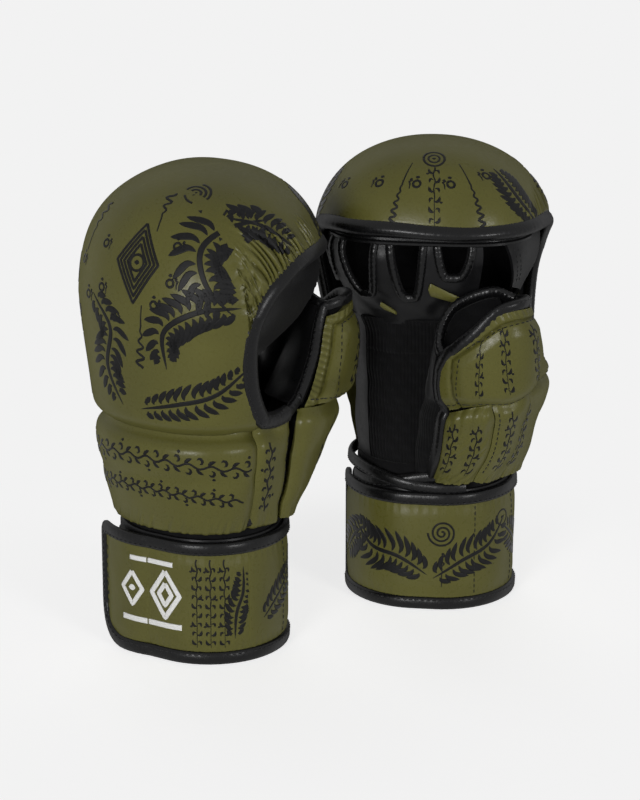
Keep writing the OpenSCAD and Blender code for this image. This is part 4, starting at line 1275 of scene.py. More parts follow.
class GLOVE_OT_stage(bpy.types.Operator):
    """Adds the floor, the soft light and the camera"""
    bl_idname = "glove.stage"
    bl_label = "Stage"

    def execute(self, context):
        scene = context.scene
        scene.view_settings.view_transform = "Standard"
        pale = linear("#f2f2f2")
        low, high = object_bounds()
        middle = (low + high) / 2
        data = bpy.data.meshes.new("floor")
        span = 12
        data.from_pydata([(middle.x + x * span, middle.y + y * span, 0) for x, y in
                          ((-1, -1), (1, -1), (1, 1), (-1, 1))], [], [(0, 1, 2, 3)])
        # The paper is lit by the lamps, and what they leave it short of plain white is added
        # for what the camera, reflections and clear parts see, so that only shadows stay darker
        material, tree = new_finish("studio_paper_white_matt")
        from_lamps = sum(strength * way[2] / np.linalg.norm(way) / np.pi for _, strength, _, way in LAMPS)
        short = 1 - AMBIENT - from_lamps
        seen = add_seen(tree)
        paper = add(tree, "ShaderNodeBsdfDiffuse", {"Color": pale})
        lift = add(tree, "ShaderNodeMath", {0: seen, 1: float(short)}, operation="MULTIPLY")
        glow = add(tree, "ShaderNodeEmission", {"Color": pale, "Strength": lift.outputs["Value"]})
        both = add(tree, "ShaderNodeAddShader", {0: paper.outputs["BSDF"], 1: glow.outputs["Emission"]})
        # Farther from the gloves it is all plain white
        place = add(tree, "ShaderNodeTexCoord").outputs["Object"]
        away = add(tree, "ShaderNodeVectorMath", {0: place, 1: (middle.x, middle.y, 0)}, operation="DISTANCE")
        far = add(tree, "ShaderNodeMapRange", {
            "Value": away.outputs["Value"], "From Min": 0.1, "From Max": 0.3},
            interpolation_type="SMOOTHSTEP")
        share = add(tree, "ShaderNodeMath", {0: far.outputs["Result"], 1: seen}, operation="MULTIPLY")
        plain = add(tree, "ShaderNodeEmission", {"Color": pale, "Strength": 1.0})
        mixed = add(tree, "ShaderNodeMixShader", {
            0: share.outputs["Value"], 1: both.outputs["Shader"], 2: plain.outputs["Emission"]})
        add(tree, "ShaderNodeOutputMaterial", {"Surface": mixed.outputs["Shader"]})
        data.materials.append(material)
        floor = bpy.data.objects.new("floor", data)
        scene.collection.objects.link(floor)
        floor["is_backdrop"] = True

        world = bpy.data.worlds.new("studio")
        scene.world = world
        world.use_nodes = True
        tree = world.node_tree
        tree.nodes.clear()
        tint = add(tree, "ShaderNodeMix", {
            "Factor": add_seen(tree), "A": (AMBIENT, AMBIENT, AMBIENT, 1), "B": pale}, data_type="RGBA")
        sky = add(tree, "ShaderNodeBackground", {"Color": tint.outputs["Result"], "Strength": 1.0})
        add(tree, "ShaderNodeOutputWorld", {"Surface": sky.outputs["Background"]})

        # Large soft sources, so far off that the floor is lit evenly
        for name, strength, spread, way in LAMPS:
            lamp = bpy.data.lights.new(name, "SUN")
            lamp.energy = strength
            lamp.angle = np.radians(spread)
            light = bpy.data.objects.new(name, lamp)
            # The back lamp only lifts the shade behind, and adds no gloss
            light.visible_glossy = name != "back"
            light.rotation_euler = Vector(way).to_track_quat("Z", "Y").to_euler()
            scene.collection.objects.link(light)

        lens = bpy.data.cameras.new("view")
        lens.sensor_width = 36
        lens.lens = 127.9
        camera = bpy.data.objects.new("view", lens)
        camera.location = (0.797, -1.2642, 0.5849)
        camera.rotation_euler = Vector((-0.5129, 0.8062, -0.2949)).to_track_quat("-Z", "Y").to_euler()
        scene.collection.objects.link(camera)
        scene.camera = camera
        return {"FINISHED"}


class GLOVE_OT_knuckle_pads(bpy.types.Operator):
    """Adds the domed knuckle pads with their gathered pleats, and their linings"""
    bl_idname = "glove.knuckle_pads"
    bl_label = "Knuckle pads"

    def execute(self, context):
        finish = finishes(settings_of(context))
        DRAWN["knuckle"] = knuckle_mesh(settings_of(context))
        make_piece("knuckle_pad", DRAWN["knuckle"], finish["olive"], "glove",
                   ("knuckle_cover", "knuckle_foam"))
        make_piece("knuckle_pad_lining", knuckle_lining_mesh(), finish["lining"], "glove",
                   ("knuckle_lining",))
        return {"FINISHED"}


class GLOVE_OT_back_pads(bpy.types.Operator):
    """Adds the pads on the backs of the hands and the strips beside them"""
    bl_idname = "glove.back_pads"
    bl_label = "Back pads"

    def execute(self, context):
        finish = finishes(settings_of(context))
        DRAWN["back"] = back_mesh()
        DRAWN["strip"] = strip_mesh()
        make_piece("back_pad", DRAWN["back"], finish["olive"], "glove",
                   ("back_cover", "back_foam"))
        make_piece("side_gusset", DRAWN["strip"], finish["olive"], "glove", ("side_strip",))
        return {"FINISHED"}


THUMB_BEND = ("thumb", (38, 40, 92), (38, 40, 127))


class GLOVE_OT_thumbs(bpy.types.Operator):
    """Adds the thumbs: two heel pads, a tip pad, the inner panel and the sleeve's lining"""
    bl_idname = "glove.thumbs"
    bl_label = "Thumbs"

    def execute(self, context):
        finish = finishes(settings_of(context))
        DRAWN["heel_a"], DRAWN["heel_b"] = thumb_base_meshes()
        DRAWN["tip"] = thumb_tip_mesh()
        make_piece("thumb_heel_pads", joined(DRAWN["heel_a"], DRAWN["heel_b"]), finish["olive"],
                   "glove", ("thumb_base_covers", "thumb_base_foams"),
                   bend=THUMB_BEND)
        make_piece("thumb_tip_pad", DRAWN["tip"], finish["olive"], "thumb",
                   ("thumb_tip_cover", "thumb_tip_foam"))
        make_piece("thumb_back_panel", thumb_inner_mesh(), finish["black"], "thumb",
                   ("thumb_inner_panel",))
        make_piece("thumb_sleeve_lining", thumb_lining_mesh(), finish["lining"], "glove",
                   bend=THUMB_BEND)
        return {"FINISHED"}


class GLOVE_OT_bindings(bpy.types.Operator):
    """Adds the folded tape that binds the edges of the padding and of the thumb"""
    bl_idname = "glove.bindings"
    bl_label = "Bindings"

    def execute(self, context):
        finish = finishes(settings_of(context))
        line, DRAWN["rim"] = rim_binding_mesh()
        palm = palm_edge_line()
        DRAWN["palm_edge"] = sweep(
            palm, outward_from(palm, thumb_middle(palm)), 3.4, 2.4, gather=0.1, seed=42)
        make_piece("rim_binding", DRAWN["rim"], finish["binding"], "glove", ("edge_bindings",))
        make_piece("thumb_palm_binding", DRAWN["palm_edge"], finish["binding"], "glove",
                   bend=THUMB_BEND)
        outer, inner = thumb_binding_lines()
        DRAWN["thumb_outer"] = sweep(
            outer, outward_from(outer, thumb_middle(outer)), 3.2, 2.3, gather=0.14, seed=43)
        DRAWN["thumb_inner"] = sweep(
            inner, outward_from(inner, thumb_middle(inner)), 2.9, 2.3, gather=0.5, seed=44)
        make_piece("thumb_binding", joined(DRAWN["thumb_outer"], DRAWN["thumb_inner"]), finish["binding"],
                   "thumb", ("thumb_tip_binding",))
        # The bound edge runs on from the pad's rim to the thumb's back edge
        link = smooth_line(np.concatenate([
            line[-6:-4], line[-1:] + [[0, 1, 0]], outer[:3] + [[0, 0, 1]]]), 46)
        make_piece("thumb_web_binding", sweep(link, pad_normals(link), 3.3, 2.6, gather=0.4, seed=45),
                   finish["binding"], "glove",
                   bend=("thumb", tuple(link[0] + [0, 1, 0]), tuple(link[-1] - [0, 1, 0])))
        return {"FINISHED"}


class GLOVE_OT_hands(bpy.types.Operator):
    """Adds the black hand compartments: panels, finger loops, darts, ribbed palm and lining"""
    bl_idname = "glove.hands"
    bl_label = "Hand compartments"

    def execute(self, context):
        settings = settings_of(context)
        finish = finishes(settings)
        # Index side panel and the panel on the little finger's side
        u, v = np.linspace(0, 1, 60)[None], np.linspace(0, 1, 40)[:, None]
        z = mix(mix(166, 187, u), LOOP_TOP + 1, v)
        angle = mix(by_station([[166, -20], [183, -21], [196, -18], [207, -11], [214, -2]], z)[..., 1],
                    by_station(INDEX_EDGE, z)[..., 1], u)
        surface = hand_at(angle, z)
        n = normals_of(surface)
        DRAWN["index"] = slab(surface + n * (0.7 * dimples(surface, 17, 51))[..., None], surface - n * 1.5)
        u, v = np.linspace(0, 1, 40)[None], np.linspace(0, 1, 70)[:, None]
        surface = hand_at(mix(142, 177, u), mix(84, PALM_TOP, v))
        n = normals_of(surface)
        outer_side = slab(surface + n * (0.6 * dimples(surface, 14, 52))[..., None], surface - n * 1.5)
        make_piece("side_panels_leather", joined(DRAWN["index"], outer_side), finish["black"],
                   "glove", ("side_panels",))

        # Finger panel with a scooped top under each loop
        angles = np.linspace(58, 169.2, 260)
        top = np.full(len(angles), float(LOOP_TOP))
        for o in FINGER_OPENINGS:
            top = np.minimum(top, opening_z(angles, o, 1.2))
        v = np.linspace(0, 1, 40)[:, None]
        z = mix(PALM_TOP - 1.5, top[None], v)
        surface = hand_at(angles[None] + 0 * v, z)
        n = normals_of(surface)
        drape = (0.7 * dimples(surface * [1, 1, 0.45], 9, 53) * ease((1 - v) / 0.35)
                 + 0.25 * dimples(surface, 5, 54))
        DRAWN["finger_panel"] = slab(surface + n * drape[..., None], surface - n * 1.5)
        make_piece("finger_panel_leather", DRAWN["finger_panel"], finish["black"], "glove",
                   ("finger_panel",))

        # Bound, gathered edges of the finger openings, and the tape that they hang from
        loops = []
        for k, o in enumerate(FINGER_OPENINGS):
            b = np.linspace(-1, 1, 181)
            b = np.sign(b) * (1 - (1 - np.abs(b)) ** 2.2)
            a = o[0] + b * OPENING_HALF
            line = even_steps(hand_at(a, opening_z(a, o, 0), 0.9), 130)
            loops.append(sweep(
                line, outward_from(line.copy(), [0, 0, 0]), 2.5, 2.4, gather=0.42, seed=60 + k))
        tape_z = np.array([[213.2, 0.3], [213.6, -0.9], [214.8, -1.2], [215.4, -0.5], [216, -1.3],
                           [217.2, -1.4], [217.8, -0.6], [218.4, -1.2], [219.4, -0.4]])
        a = np.linspace(26, 150, 120)[None]
        tape = hand_at(a + 0 * tape_z[:, :1], tape_z[:, :1] + 0 * a, tape_z[:, 1:] + 0 * a)
        behind = hand_at(a + 0 * tape_z[:, :1], tape_z[:, :1] + 0 * a, 2.8)
        make_piece("finger_loop_bindings", joined(*loops, slab(tape, behind)), finish["binding"],
                   "glove", ("finger_loops",))

        # Olive darts, each a folded tongue of leather with rounded edges
        darts = []
        for a0, z0, a1, z1, width in ((112, 172, 121, 176.5, 5), (63, 180, 88, 188.5, 8)):
            u, v = np.linspace(0, 1, 40)[None], np.linspace(-1, 1, 16)[:, None]
            half = width / 2 * (0.4 + 0.6 * u) * np.minimum(1, (np.minimum(u, 1 - u) / 0.08) ** 0.5 + 0.12)
            z = mix(z0, z1, u) + half * v
            crown = 1.0 + 1.1 * (1 - v ** 2) + 0 * u
            surface = hand_at(mix(a0, a1, u) + 0 * v, z, -crown)
            darts.append(slab(surface, hand_at(mix(a0, a1, u) + 0 * v, z, -0.4)))
        make_piece("palm_darts", joined(*darts), finish["olive"], "glove", ("palm_accents",))

        # Ribbed palm cloth in two layers, the upper one lapping over the lower at the fold
        layers = []
        for z0, z1, proud in ((CUFF_TOP + 2, FOLD_Z + 2, 0.0), (FOLD_Z - 1.5, PALM_TOP + 1, 0.9)):
            v = np.linspace(0, 1, 50)[:, None]
            z = mix(z0, z1, v)
            start = by_station(MESH_BORDER, z)[..., 1]
            u = np.linspace(0, 1, 300)[None]
            angle = mix(start, 141.5, u)
            surface = hand_at(angle, z + 0 * u)
            n = normals_of(surface)
            run = np.radians(angle) * 42
            ribs = 0.55 * np.abs(np.sin(np.pi * run / (settings.rib_pitch / MM))) ** 0.8
            sag = (0.9 * dimples(surface * [1, 1, 1.6], 15, 55 + int(z0))
                   - 0.8 * ease((z - z1 + 6) / 6) * (proud == 0))
            roll = -0.8 * ease((z0 + 2.2 - z) / 2.2) * (proud > 0)
            outer = surface + n * (ribs + sag + roll + proud)[..., None]
            layers.append(slab(outer, surface - n * (1.5 - proud)))
        make_piece("palm_cloth_ribbed", joined(*layers), finish["rib"], "glove", ("palm_mesh",))

        make_piece("thumb_palm_web", palm_web_mesh(), finish["rib"], "glove", bend=THUMB_BEND)

        # Lining of the hand, open towards the thumb
        u, v = np.linspace(0, 1, 150)[None], np.linspace(0, 1, 60)[:, None]
        z = mix(80, PALM_TOP - 1, v)
        surface = hand_at(mix(np.maximum(82, by_station(MESH_BORDER, z)[..., 1]), 330, u), z + 0 * u, 2.7)
        n = normals_of(surface)
        inner = surface - n * (1.2 + 0.7 * dimples(surface, 11, 56)[..., None] * ease(v / 0.15)[..., None])
        make_piece("hand_lining_cloth", slab(surface, inner), finish["lining"], "glove",
                   ("hand_lining",))
        return {"FINISHED"}


def flap_top(run, lead):
    """Height of the top edge of one of the two flaps that cross on the palm side of the cuff."""
    offset = (run - FLAP_CROSS) * lead
    return CUFF_TOP + 2.5 - 7.5 * ease((offset + 34) / 60)


class GLOVE_OT_cuffs(bpy.types.Operator):
    """Adds the cuffs: elastic lining, padded wrap with crossed flaps, and their bound top edges"""
    bl_idname = "glove.cuffs"
    bl_label = "Cuffs"

    def execute(self, context):
        finish = finishes(settings_of(context))
        run = np.linspace(0, CUFF_ROUND, 401)[:-1][None]
        # Elastic lining with fine upright ribs
        v = np.linspace(0, 1, 24)[:, None]
        ribs = 0.25 * np.abs(np.sin(np.pi * run / 2.0))
        outer = cuff_at(run + 0 * v, mix(1, 84, v) + 0 * run, 35.9 + 0 * ribs)
        inner = cuff_at(run + 0 * v, mix(1, 84, v) + 0 * run, 34.5 - ribs + 0 * v)
        make_piece("cuff_elastic", slab(outer, inner, ring=True), finish["lining"], "glove",
                   ("cuff_lining",))
        # Padded wrap
        top = np.minimum(flap_top(run, 1), flap_top(run, -1))
        v = np.linspace(0, 1, 30)[:, None]
        z = mix(0, top - 1, v)
        edge = np.minimum(z, top - 1 - z)
        face = WRAP_R + WRAP_T - 0.9 * np.clip(1 - edge / 2, 0, 1) ** 2 + 0.15 * dimples(
            cuff_at(run + 0 * v, z, 40), 18, 71)
        wrap = slab(cuff_at(run + 0 * v, z, face), cuff_at(run + 0 * v, z, WRAP_R + 0 * face), ring=True)
        make_piece("cuff_padded_wrap", wrap, finish["black"], "glove", ("cuff_wrap",))
        # Bound top edges: one flap laps over the other on the palm side
        bindings = []
        for lead, start, stop, r, seed in (
                (1, -0.46 * CUFF_ROUND + FLAP_CROSS, FLAP_CROSS + 36, 38.6, 72),
                (-1, FLAP_CROSS + 0.54 * CUFF_ROUND, FLAP_CROSS - 40, 39.6, 73)):
            path = np.linspace(start, stop, 330)
            line = cuff_at(path, flap_top(path, lead) + 0.6, r)
            bindings.append(sweep(line, cuff_out(path), 3.4, 1.9, gather=0.1, seed=seed))
        DRAWN["cuff_binding"] = joined(*bindings)
        make_piece("cuff_top_binding", DRAWN["cuff_binding"], finish["binding"], "glove",
                   ("cuff_binding",))
        # Soft loop tape on the strap's base, under the strap's free end
        u, v = np.linspace(0, 1, 60)[None], np.linspace(0, 1, 60)[:, None]
        path = mix(run_at(208), run_at(250), u)
        z = mix(8, 62, v)
        r = STRAP_R + 0.55 + 0.25 * dimples(cuff_at(path, z, 40), 2.2, 74)
        patch = slab(cuff_at(path, z, r), cuff_at(path, z, STRAP_R + 0 * r))
        make_piece("loop_tape", patch, finish["hook"], "glove", ("loop_patch",))
        return {"FINISHED"}


# The free end turns a little about its outer edge, so that it stands off the cuff
END_LIFT = 11           # degrees
END_VIEW = 228          # angle that its outline is drawn square to
END_JOINT = 269.4       # angle at which it meets the arm
END_EDGE = -STRAP_R * np.sin(np.radians(END_VIEW - 212))
END_CORNERS = (24, 8)       # radius of its lower and upper corner


def lifted(p):
    """Turns points about the free end's outer edge, off the cuff."""
    a = np.radians(END_LIFT)
    x, y = p[..., 0] + CUFF_FLAT, p[..., 1] + STRAP_OUTER_R
    return np.stack([x * np.cos(a) - y * np.sin(a) - CUFF_FLAT,
                     x * np.sin(a) + y * np.cos(a) - STRAP_OUTER_R, p[..., 2]], -1)


def end_at(x, z, r):
    """Points of the strap's free end, from its place x across the view of it and its height."""
    x, z, r = np.broadcast_arrays(*(np.asarray(v, float) for v in (x, z, r)))
    angle = END_VIEW + np.degrees(np.arcsin(np.clip(x / STRAP_R, -1, 1)))
    p = polar(np.minimum(angle, END_JOINT), r)
    return lifted(np.stack([p[..., 0] - CUFF_FLAT, p[..., 1], z], -1))


END_STOP = STRAP_R * np.sin(np.radians(END_JOINT - END_VIEW))


def end_outline(inset, count):
    """Outline of the free end, a distance in from its edge: from the joint along the top,
    round the end and back along the bottom."""
    left, low, high = END_EDGE + inset, STRAP_BOTTOM + inset, STRAP_TOP - inset
    big, small = END_CORNERS[0] - inset, max(0.5, END_CORNERS[1] - inset)
    turn = np.linspace(0, np.pi / 2, 12)
    upper = [[left + small - small * np.sin(t), high - small + small * np.cos(t)] for t in turn]
    lower = [[left + big - big * np.cos(t), low + big - big * np.sin(t)] for t in turn]
    return even_steps(np.array([[END_STOP, high]] + upper + lower + [[END_STOP, low]]), count)


# The free end's leather runs on a little way along the arm, just under its surface
JOINT_LAP = np.array([0.6, 1.4])


def lapped(points, z, r):
    """The free end's rows of points, with the lap over the joint added at both ends of them."""
    lap = [cuff_at(END_START + step, z[[0, -1]], np.asarray(r)[[0, -1]] - 0.12) for step in JOINT_LAP]
    return np.concatenate([[lap[1][0], lap[0][0]], points, [lap[0][1], lap[1][1]]])


def strap_face(start, stop, cols, seed):
    u, v = np.linspace(0, 1, cols)[None], np.linspace(0, 1, 44)[:, None]
    run = mix(start, stop, u)
    z = mix(STRAP_BOTTOM + STRAP_BINDING_W - 1.2, STRAP_TOP - STRAP_BINDING_W + 1.2, v)
    beside = np.minimum(z - (STRAP_BOTTOM + STRAP_BINDING_W), STRAP_TOP - STRAP_BINDING_W - z)
    pucker = 0.22 * np.abs(np.sin(np.pi * run / 4.7 + 0.8 * np.sin(run / 9))) * ease((9 - beside) / 9)
    at = cuff_at(run + 0 * v, z + 0 * u, RUN_R)
    r = RUN_R + 0.5 * ease(beside / 7) - 0.5 + 0.3 * dimples(at, 15, seed) - pucker
    return slab(cuff_at(run + 0 * v, z + 0 * u, r), cuff_at(run + 0 * v, z + 0 * u, STRAP_R + 0 * r))


def strap_edges(start, stop, count, seed):
    run = np.linspace(start, stop, count)
    half = STRAP_BINDING_W / 2
    return [sweep(cuff_at(run, z, STRAP_R + 1.9), cuff_out(run), half, 1.95, gather=0.07, squareness=2.8,
                  seed=seed + k) for k, z in enumerate((STRAP_BOTTOM + half, STRAP_TOP - half))]


ARM_BEND = ("strap_arm", *(tuple(cuff_at(run, STRAP_MIDDLE, 41)) for run in (ARM_START, ARM_START - 9)))
END_BEND = ("strap_end", (-6, -41, STRAP_MIDDLE), (-15, -41, STRAP_MIDDLE))


class GLOVE_OT_straps(bpy.types.Operator):
    """Adds the wrist straps: olive faces, folded bindings and hook tape"""
    bl_idname = "glove.straps"
    bl_label = "Straps"

    def execute(self, context):
        finish = finishes(settings_of(context))
        DRAWN["strap_base"] = strap_face(ARM_START, STRAP_START, 260, 81)
        DRAWN["strap_arm"] = strap_face(END_START, ARM_START, 110, 82)
        make_piece("strap_fixed_face", DRAWN["strap_base"], finish["olive"], "glove",
                   ("strap_base",))
        base_edges = strap_edges(ARM_START, STRAP_START, 260, 83)
        # The fixed part ends in an upright bound edge under the free end
        z = np.linspace(STRAP_BOTTOM + 4, STRAP_TOP - 4, 90)
        upright = cuff_at(np.full(90, STRAP_START - 2.5), z, STRAP_R + 1.8)
        out = np.tile(cuff_out(STRAP_START), (90, 1))
        base_edges.append(sweep(upright, out, 3.2, 1.7, gather=0.06, seed=85))
        DRAWN["base_edges"] = joined(*base_edges)
        make_piece("strap_fixed_binding", DRAWN["base_edges"], finish["binding"], "glove",
                   ("strap_base_bindings",))
        make_piece("strap_arm_face", DRAWN["strap_arm"], finish["olive"], "glove",
                   ("strap_arm",), bend=ARM_BEND)
        DRAWN["arm_edges"] = joined(*strap_edges(END_START, ARM_START, 110, 86))
        make_piece("strap_arm_binding", DRAWN["arm_edges"], finish["binding"], "glove",
                   ("strap_arm_bindings",), bend=ARM_BEND)

        # Free end: a face whose columns run from the joint to the rounded outline
        outline = end_outline(STRAP_BINDING_W - 1.4, 121)
        top, bottom = outline[:61], outline[60:][::-1]
        v = np.linspace(0, 1, 40)[None, :, None]
        rows = mix(bottom[:, None], top[:, None], v)
        x, z = rows[..., 0], rows[..., 1]
        edge = np.minimum(np.minimum(z - STRAP_BOTTOM, STRAP_TOP - z), x - END_EDGE) - STRAP_BINDING_W
        p = end_at(x, z, RUN_R)
        r = RUN_R + 0.5 * ease(edge / 7) - 0.5 + 0.3 * dimples(p, 15, 87)
        face, back = end_at(x, z, r), end_at(x, z, STRAP_R + 0 * r)
        DRAWN["strap_end"] = slab(*(np.stack([lapped(grid[:, k], z[:, k], rim[:, k]) for k in range(40)], 1)
                                    for grid, rim in ((face, r), (back, 0 * r + STRAP_R))))
        make_piece("strap_end_face", DRAWN["strap_end"], finish["olive"], "strap_arm",
                   ("strap_end",), bend=END_BEND)
        path = end_outline(STRAP_BINDING_W / 2, 300)
        at_r = lambda r: lapped(end_at(path[:, 0], path[:, 1], r), path[:, 1], np.full(len(path), r))
        line = at_r(STRAP_R + 1.9)
        out = unit(at_r(60) - at_r(30))
        DRAWN["end_edge"] = sweep(line, out, STRAP_BINDING_W / 2, 1.95, gather=0.1, squareness=2.8, seed=88)
        make_piece("strap_end_binding", DRAWN["end_edge"], finish["binding"], "strap_arm",
                   ("strap_end_bindings",), bend=END_BEND)
        # Stiff hook tape inside the free end
        x, z = np.linspace(-8, 6, 40)[:, None], np.linspace(13, 57, 60)[None]
        p = end_at(x + 0 * z, z + 0 * x, STRAP_R - 0.3)
        deep = STRAP_R - 0.85 + 0.2 * dimples(p, 1.6, 89)
        make_piece("hook_tape", slab(end_at(x + 0 * z, z + 0 * x, STRAP_R - 0.3 + 0 * deep),
                                     end_at(x + 0 * z, z + 0 * x, deep)),
                   finish["hook"], "strap_end", ("hook_patch",))
        return {"FINISHED"}


DRAWN = {}      # meshes of the drawing that stitches and print are laid on


class GLOVE_OT_stitching(bpy.types.Operator):
    """Adds the rows of stitches along bindings and seams"""
    bl_idname = "glove.stitching"
    bl_label = "Stitching"

    def execute(self, context):
        settings = settings_of(context)
        finish = finishes(settings)
        pitch = settings.stitch_pitch / MM
        trees = {name: shape_tree(mesh) for name, mesh in DRAWN.items()}

        def row(name, line):
            steps = max(4, int(line_length(line)))
            return stitches(*laid_on(trees[name], even_steps(line, steps)), pitch)

        fixed, bending, tip, arm, end = [], [], [], [], []
        # Along the padding's rim, on the binding's two sides
        rim = rim_line(300)
        out = pad_normals(rim)
        across = np.cross(unit(np.gradient(rim, axis=0)), out)
        fixed.append(row("rim", rim + out * 3.1 + across * 2.9))
        # Seams of the side strip
        z = np.linspace(HEM_Z + 6, 133, 60)
        fixed.append(row("strip", pad_at(strip_end_angle(z) - 2.2, z, 0)))
        # Thumb seams
        z = np.linspace(HEM_Z + 8, 124, 60)
        bending.append(row("heel_a", thumb_at(thumb_angle(HEEL_SEAM_U - 0.03, z), z)))
        angle = np.linspace(-52, 150, 120)
        tip.append(row("tip", thumb_at(angle, thumb_seam_z(angle) + 2.6)))
        for across, up in ((np.full(50, 0.135), np.linspace(0.04, 0.86, 50)),
                           (np.linspace(0.135, 0.82, 60), np.full(60, 0.865)),
                           (np.full(40, 0.86), np.linspace(0.06, 0.8, 40))):
            tip.append(row("tip", thumb_grid(across, above_seam, to_mouth, up)))
        outer, _ = thumb_binding_lines()
        out = outward_from(outer, thumb_middle(outer))
        across = np.cross(unit(np.gradient(outer, axis=0)), out)
        tip.append(row("thumb_outer", outer + out * 2.2 - across * 2.1))
        palm = palm_edge_line()
        out = outward_from(palm, thumb_middle(palm))
        across = np.cross(unit(np.gradient(palm, axis=0)), out)
        bending.append(row("palm_edge", palm + out * 2.2 - across * 2.2))
        # Index panel, finger panel
        z = np.linspace(190, 212, 30)
        edge = by_station(INDEX_EDGE, z)[..., 1]
        fixed.append(row("index", hand_at(edge - 3.0, z)))
        fixed.append(row("index", hand_at(edge - 5.6, z)))
        # Strap bindings
        run = np.linspace(ARM_START + 1, STRAP_START - 3, 200)
        for z in (STRAP_BOTTOM + STRAP_BINDING_W - 1.5, STRAP_TOP - STRAP_BINDING_W + 1.5):
            fixed.append(row("base_edges", cuff_at(run, z, 44)))
            arm.append(row("arm_edges", cuff_at(np.linspace(END_START + 0.5, ARM_START - 1, 80), z, 44)))
        path = end_outline(STRAP_BINDING_W - 1.5, 200)[2:-2]
        end.append(row("end_edge", end_at(path[:, 0], path[:, 1], 44)))
        # Upright seams across the strap
        z = np.linspace(STRAP_BOTTOM + 8, STRAP_TOP - 8, 60)
        for angle in (58, 14):
            fixed.append(row("strap_base", cuff_at(np.full(60, run_at(angle)), z, 43)))
        # Cuff binding
        for lead, start, stop in ((1, -0.44 * CUFF_ROUND + FLAP_CROSS, FLAP_CROSS + 34),
                                  (-1, FLAP_CROSS + 0.52 * CUFF_ROUND, FLAP_CROSS - 38)):
            path = np.linspace(start, stop, 260)
            fixed.append(row("cuff_binding", cuff_at(path, flap_top(path, lead) - 1.6, 43)))
        thread = finish["thread"]
        make_piece("seam_stitches", joined(*fixed), thread, "glove")
        make_piece("thumb_heel_stitches", joined(*bending), thread, "glove", bend=THUMB_BEND)
        make_piece("thumb_tip_stitches", joined(*tip), thread, "thumb")
        make_piece("strap_arm_stitches", joined(*arm), thread, "glove", bend=ARM_BEND)
        make_piece("strap_end_stitches", joined(*end), thread, "strap_arm", bend=END_BEND)
        return {"FINISHED"}


